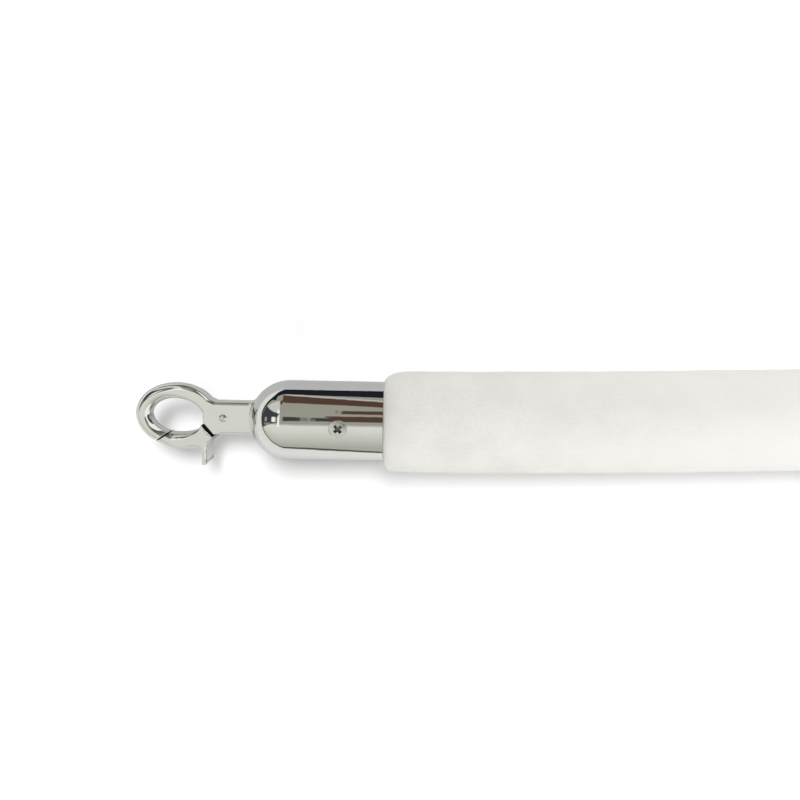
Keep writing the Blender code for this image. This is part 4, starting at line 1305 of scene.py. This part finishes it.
# %% Turned wood, and finishes for the inner pieces
def turned_wood(name, colour, dark):
    """Bare wood with its grain along the plug."""
    paint, tree, shader = principled(name)
    along = add_node(tree, "ShaderNodeMapping", {"Vector": object_place(tree), "Scale": (60.0, 700.0, 700.0)})
    grain = noise(tree, along, scale=1.0, detail=5.0)
    fill(tree, shader, {"Base Color": blend(tree, grain, dark, colour), "Roughness": 0.75,
                        "Normal": bump(tree, grain, 0.3, 0.0002)})
    return paint


INNER_FINISHES = {"gate_spring": WIRE_STEEL, "stem_washer": SCREW_STEEL, "stem_nut": SCREW_STEEL,
                  "core_plug": turned_wood("plug_wood", (0.66, 0.48, 0.30), (0.44, 0.30, 0.17))}
for name, paint in INNER_FINISHES.items():
    for end in FITTINGS:
        materials = frame["nodes"][f"{name}_{end}"].data.materials
        materials.clear()
        materials.append(paint)
print("inner pieces finished:", len(INNER_FINISHES) * len(FITTINGS))

# %% [markdown]
# ## Floor and light
# The photograph has a pure white ground with one soft shadow to the lower right. The floor is pale and
# keeps its shadow, and a share of its own light, seen by the camera only, lifts it to white. A soft lamp
# above makes the shadow. A broad lamp low on the near side, without a shadow, gives the velvet its bright
# near side.

# %% White floor that keeps the shadow
FLOOR_HALF = 3.0
FLOOR_DROP = 0.0002
FLOOR_LIFT = 0.05
FLOOR_WHITE = 0.95
FLOOR_MIRROR_Y = (-0.045, 0.005)
FLOOR_MIRROR_TONE = (0.76, 0.50)


def white_ground():
    """Pale matt floor with extra light of its own in the camera's view, and a duller far side in mirrors."""
    paint, tree, shader = principled("white_ground")
    path = add_node(tree, "ShaderNodeLightPath").outputs
    _, y, _ = split(tree, object_place(tree))
    mirrored = ranged(tree, y, FLOOR_MIRROR_Y, FLOOR_MIRROR_TONE)
    tone = add_node(tree, "ShaderNodeMix", {0: path["Is Glossy Ray"], 2: FLOOR_WHITE, 3: mirrored})
    fill(tree, shader, {"Base Color": tone, "Emission Color": (1.0, 1.0, 1.0, 1.0), "Roughness": 1.0,
                        "Emission Strength": calc(tree, "MULTIPLY", path["Is Camera Ray"], FLOOR_LIFT),
                        "Specular IOR Level": 0.0})
    return paint


floor_corners = [(x * FLOOR_HALF, y * FLOOR_HALF, -FLOOR_DROP)
                 for x, y in ((-1, -1), (1, -1), (1, 1), (-1, 1))]
floor_mesh = bpy.data.meshes.new("floor")
floor_mesh.from_pydata(floor_corners, [], [(0, 1, 2, 3)])
floor_mesh.materials.append(white_ground())
floor = add_object("floor", floor_mesh)

# %% Soft lamps
def soft_lamp(name, strength, spread, toward, shadow=False):
    """A soft sun whose light travels along a direction and which no mirror shows."""
    data = bpy.data.lights.new(name, "SUN")
    data.energy = strength
    data.angle = math.radians(spread)
    data.use_shadow = shadow
    lamp = add_object(name, data)
    lamp.rotation_euler = Vector(toward).to_track_quat("-Z", "Y").to_euler()
    lamp.visible_glossy = False


soft_lamp("key", 1.98, 26.0, (-0.08, -0.39, -1.0), shadow=True)
soft_lamp("near_side", 1.70, 40.0, (0.0, 0.94, -0.34))
soft_lamp("far_side", 0.27, 40.0, (0.0, -0.94, -0.34))
soft_lamp("overhead", 0.35, 34.0, (0.0, 0.0, -1.0), shadow=True)

# %% [markdown]
# ## Cards for the mirror
# Photographers put dark cards round bright metal, because chrome without a dark edge looks like plaster.
# One strip runs round the fitting here, as the edge of a table would: white below, then a dark edge, then
# the wall behind it. The edge is broad and nearly black on the far side and a thin brown line on the near
# side. Only mirrors see it. Each of its posts has a place on the floor and three heights: the edge's foot,
# the edge's top and the wall's top.

# %% Strip round the fitting, with a dark edge
CARD_POSTS = [
    (0.150, 0.120, 0.0, 0.066, 0.066), (-0.045, 0.155, 0.0, 0.069, 0.069), (-0.105, 0.152, 0.0, 0.052, 0.052),
    (-0.140, 0.142, 0.020, 0.056, 0.056), (-0.158, 0.134, 0.036, 0.088, 0.088),
    (-0.176, 0.122, 0.042, 0.064, 0.064), (-0.230, 0.055, 0.050, 0.063, 0.063),
    (-0.240, 0.000, 0.061, 0.070, 0.070), (-0.255, -0.080, 0.066, 0.078, 0.078),
    (-0.250, -0.160, 0.070, 0.084, 0.084), (-0.180, -0.210, 0.052, 0.068, 0.070),
    (-0.115, -0.200, 0.030, 0.050, 0.056), (-0.079, -0.158, 0.011, 0.032, 0.048),
    (-0.043, -0.115, 0.0, 0.013, 0.042), (-0.010, -0.085, 0.0, 0.009, 0.036),
]
CARD_SAMPLES = 8
LEAST_BAND = 1e-5
CARD_SIDES = (-0.05, 0.05)
TABLE_TONE = (0.78, 0.78, 0.75)
LOW_WALL = (0.44, 0.45, 0.39)
EDGE_FAR = (0.013, 0.016, 0.020)
EDGE_NEAR = (0.11, 0.09, 0.075)


def glowing(name, far, near):
    """A finish that gives off its own colour, one on the far side and another on the near side."""
    paint = bpy.data.materials.new(name)
    paint.use_nodes = True
    tree = paint.node_tree
    tree.nodes.clear()
    _, y, _ = split(tree, object_place(tree))
    tone = blend(tree, ranged(tree, y, CARD_SIDES), near, far)
    glow = add_node(tree, "ShaderNodeEmission", {"Color": tone})
    add_node(tree, "ShaderNodeOutputMaterial", {"Surface": glow})
    return paint


def card_mesh():
    """Three bands one above the other, each with its own finish, left out where they have no height."""
    posts = np.array(CARD_POSTS)
    foot, along = smooth_route(posts[:, :2], CARD_SAMPLES)
    count = len(along)
    levels = [np.zeros(count)] + [np.interp(along, along[::CARD_SAMPLES], rise) for rise in posts.T[2:]]
    faces, bands = [], []
    for number, (low, high) in enumerate(zip(levels, levels[1:])):
        for i in range(count - 1):
            if max(high[i] - low[i], high[i + 1] - low[i + 1]) > LEAST_BAND:
                here = number * count + i
                faces.append((here, here + 1, here + count + 1, here + count))
                bands.append(number)
    mesh = bpy.data.meshes.new("mirror_card")
    mesh.from_pydata([(x, y, z) for level in levels for (x, y), z in zip(foot, level)], [], faces)
    for name, far, near in (("card_table", TABLE_TONE, TABLE_TONE), ("card_edge", EDGE_FAR, EDGE_NEAR),
                            ("card_wall", LOW_WALL, LOW_WALL)):
        mesh.materials.append(glowing(name, far, near))
    mesh.polygons.foreach_set("material_index", bands)
    return mesh


card = add_object("mirror_card", card_mesh())
for unseen in ("camera", "diffuse", "transmission", "volume_scatter", "shadow"):
    setattr(card, "visible_" + unseen, False)

# %% [markdown]
# ## The room in the mirror
# A mirror needs something to show. The world below is white for the camera, an even grey for soft light,
# and for reflections a simple room, as angles round the rope's axis: a bright wall on the near side, a
# duller ceiling with a few dark beams, and a warm dark band on the far side. A dark frame with bright panes
# stands off the hook's end.

# %% Colours and places in the room
BRIGHT_WALL = (0.76, 0.77, 0.72)
CEILING = (0.36, 0.36, 0.305)
FAR_CEILING = (0.33, 0.33, 0.28)
WARM_BAND = (0.092, 0.052, 0.037)
LIGHT_LINE = (0.55, 0.55, 0.53)
NEAR_BLACK = (0.045, 0.055, 0.058)
GREY_BROWN = (0.30, 0.27, 0.24)
PALE_CORNER = (0.62, 0.62, 0.60)
PANE = (0.95, 0.96, 0.94)
DIM_PANE = (0.38, 0.38, 0.36)
ROOM_STOPS = [(-90, (0.30, 0.29, 0.26)), (-86, LOW_WALL), (-80, LOW_WALL), (-30, (0.72, 0.73, 0.68)),
              (-17, BRIGHT_WALL), (-10, CEILING), (48, FAR_CEILING), (80, FAR_CEILING), (84, NEAR_BLACK)]
STREAK_DASHES = [(-0.240, -0.237), (-0.232, -0.186), (-0.182, -0.178), (-0.168, -0.11)]
BEAMS = [
    (PALE_CORNER, (24.0, 0.0), (58.0, 0.0), (-0.86, -0.345)),
    (PANE, (-20.0, 0.0), (30.0, 0.0), (-0.46, -0.345)),
    (WARM_BAND, (46.0, 0.0), (58.0, 0.0), (-0.345, -0.255)),
    (LIGHT_LINE, (55.5, -89.0), (59.5, -89.0), (-0.225, 0.05)),
    (WARM_BAND, (39.6, -52.6), (54.5, -89.0), (-0.255, 0.05)),
    *((NEAR_BLACK, (1.7, 20.0), (4.5, -23.0), dash) for dash in STREAK_DASHES),
    (WARM_BAND, (-2.0, 0.0), (13.5, 0.0), (-0.135, 0.05)),
    (WARM_BAND, (20.0, 0.0), (29.5, 0.0), (-0.112, 0.05)),
]
BEAM_SOFT = math.radians(1.5)
BEAM_END_SOFT = 0.002
ROPE_SIDE_GLOW = (0.22, 1.1)
GLOW_SOFT = 0.03
ROPE_SIDE_SOFT = (0.015, 0.06)
ROPE_SIDE_BEAMS = [(NEAR_BLACK, (0.05, 0.17), (-0.38, 0.80)), (GREY_BROWN, (0.17, 0.48), (-0.35, 0.0)),
                   (NEAR_BLACK, (0.72, 1.1), (-0.38, 0.80))]
FRAME_HEIGHTS = (0.26, 0.89)
FRAME_SIDES = [(-0.34, 0.24), (0.59, -0.33)]
FRAME_LEAN = (-1.1, -0.2)
FRAME_SOFT = 0.02
PANES = [(PANE, (0.73, 0.85), (-0.09, 0.13)), (DIM_PANE, (0.42, 0.52), (-0.06, 0.10)),
         (GREY_BROWN, (0.38, 0.68), (-0.20, -0.12))]
PANE_SOFT = 0.03

# %% World with its bands, beams and window
def rising(tree, value, limit, soft):
    """0 below a limit and 1 above it, with a soft edge."""
    return ranged(tree, value, (limit - soft, limit + soft), interpolation_type="SMOOTHSTEP")


def between(tree, value, limits, soft):
    """1 between two limits and 0 outside them."""
    below = calc(tree, "SUBTRACT", 1.0, rising(tree, value, limits[1], soft))
    return calc(tree, "MULTIPLY", rising(tree, value, limits[0], soft), below)


def slanted(tree, value, along, limits, soft):
    """1 between two limits, each a start and its change along another value."""
    edges = [rising(tree, calc(tree, "MULTIPLY_ADD", along, -slope, value), start, soft)
             for start, slope in limits]
    return calc(tree, "SUBTRACT", *edges, clamp=True)


def mirrored_room(tree):
    """Bands by the angle round the rope's axis, then the beams, then the framed panes off the hook's end."""
    lean, side, height = split(tree, add_node(tree, "ShaderNodeTexCoord").outputs["Generated"])
    tilt = calc(tree, "ARCTAN2", side, height)
    bands = add_node(tree, "ShaderNodeValToRGB", {"Fac": ranged(tree, tilt, (-math.pi, math.pi))})
    while len(bands.color_ramp.elements) < len(ROOM_STOPS):
        bands.color_ramp.elements.new(0.5)
    for element, (degrees, colour) in zip(bands.color_ramp.elements, ROOM_STOPS):
        element.position = 0.5 + degrees / 360
        element.color = (*colour, 1.0)
    layers = []
    for colour, low, high, leans in BEAMS:
        edges = [(math.radians(degrees), math.radians(slope)) for degrees, slope in (low, high)]
        layers.append((colour, slanted(tree, tilt, lean, edges, BEAM_SOFT),
                       between(tree, lean, leans, BEAM_END_SOFT)))
    layers.append((PANE, between(tree, lean, ROPE_SIDE_GLOW, GLOW_SOFT), 1.0))
    for colour, leans, sides in ROPE_SIDE_BEAMS:
        layers.append((colour, between(tree, lean, leans, ROPE_SIDE_SOFT[0]),
                       between(tree, side, sides, ROPE_SIDE_SOFT[1])))
    facing = between(tree, lean, FRAME_LEAN, FRAME_SOFT)
    framed = calc(tree, "MULTIPLY", slanted(tree, side, height, FRAME_SIDES, FRAME_SOFT),
                  between(tree, height, FRAME_HEIGHTS, FRAME_SOFT))
    layers.append((NEAR_BLACK, framed, facing))
    for colour, heights, sides in PANES:
        pane = calc(tree, "MULTIPLY", between(tree, side, sides, PANE_SOFT),
                    between(tree, height, heights, PANE_SOFT))
        layers.append((colour, pane, facing))
    shown = bands.outputs["Color"]
    for colour, first, second in layers:
        shown = blend(tree, calc(tree, "MULTIPLY", first, second), shown, colour)
    return shown


# %% Room for mirrors, even light for the rest, white for the camera
EVEN_LIGHT = 0.14


def room():
    """World shader that gives each kind of ray its own surroundings."""
    world = bpy.data.worlds.new("room")
    world.use_nodes = True
    tree = world.node_tree
    tree.nodes.clear()
    mirror = add_node(tree, "ShaderNodeBackground", {"Color": mirrored_room(tree)})
    even = add_node(tree, "ShaderNodeBackground", {"Color": (1.0, 1.0, 0.99, 1.0), "Strength": EVEN_LIGHT})
    white = add_node(tree, "ShaderNodeBackground", {"Color": (1.0, 1.0, 1.0, 1.0), "Strength": 1.0})
    path = add_node(tree, "ShaderNodeLightPath").outputs
    reflected = add_node(tree, "ShaderNodeMixShader", {0: path["Is Glossy Ray"], 1: even, 2: mirror})
    seen = add_node(tree, "ShaderNodeMixShader", {0: path["Is Camera Ray"], 1: reflected, 2: white})
    add_node(tree, "ShaderNodeOutputWorld", {"Surface": seen})
    return world


bpy.context.scene.world = room()
bpy.context.scene.view_settings.view_transform = "Standard"
print("world:", bpy.context.scene.world.name)
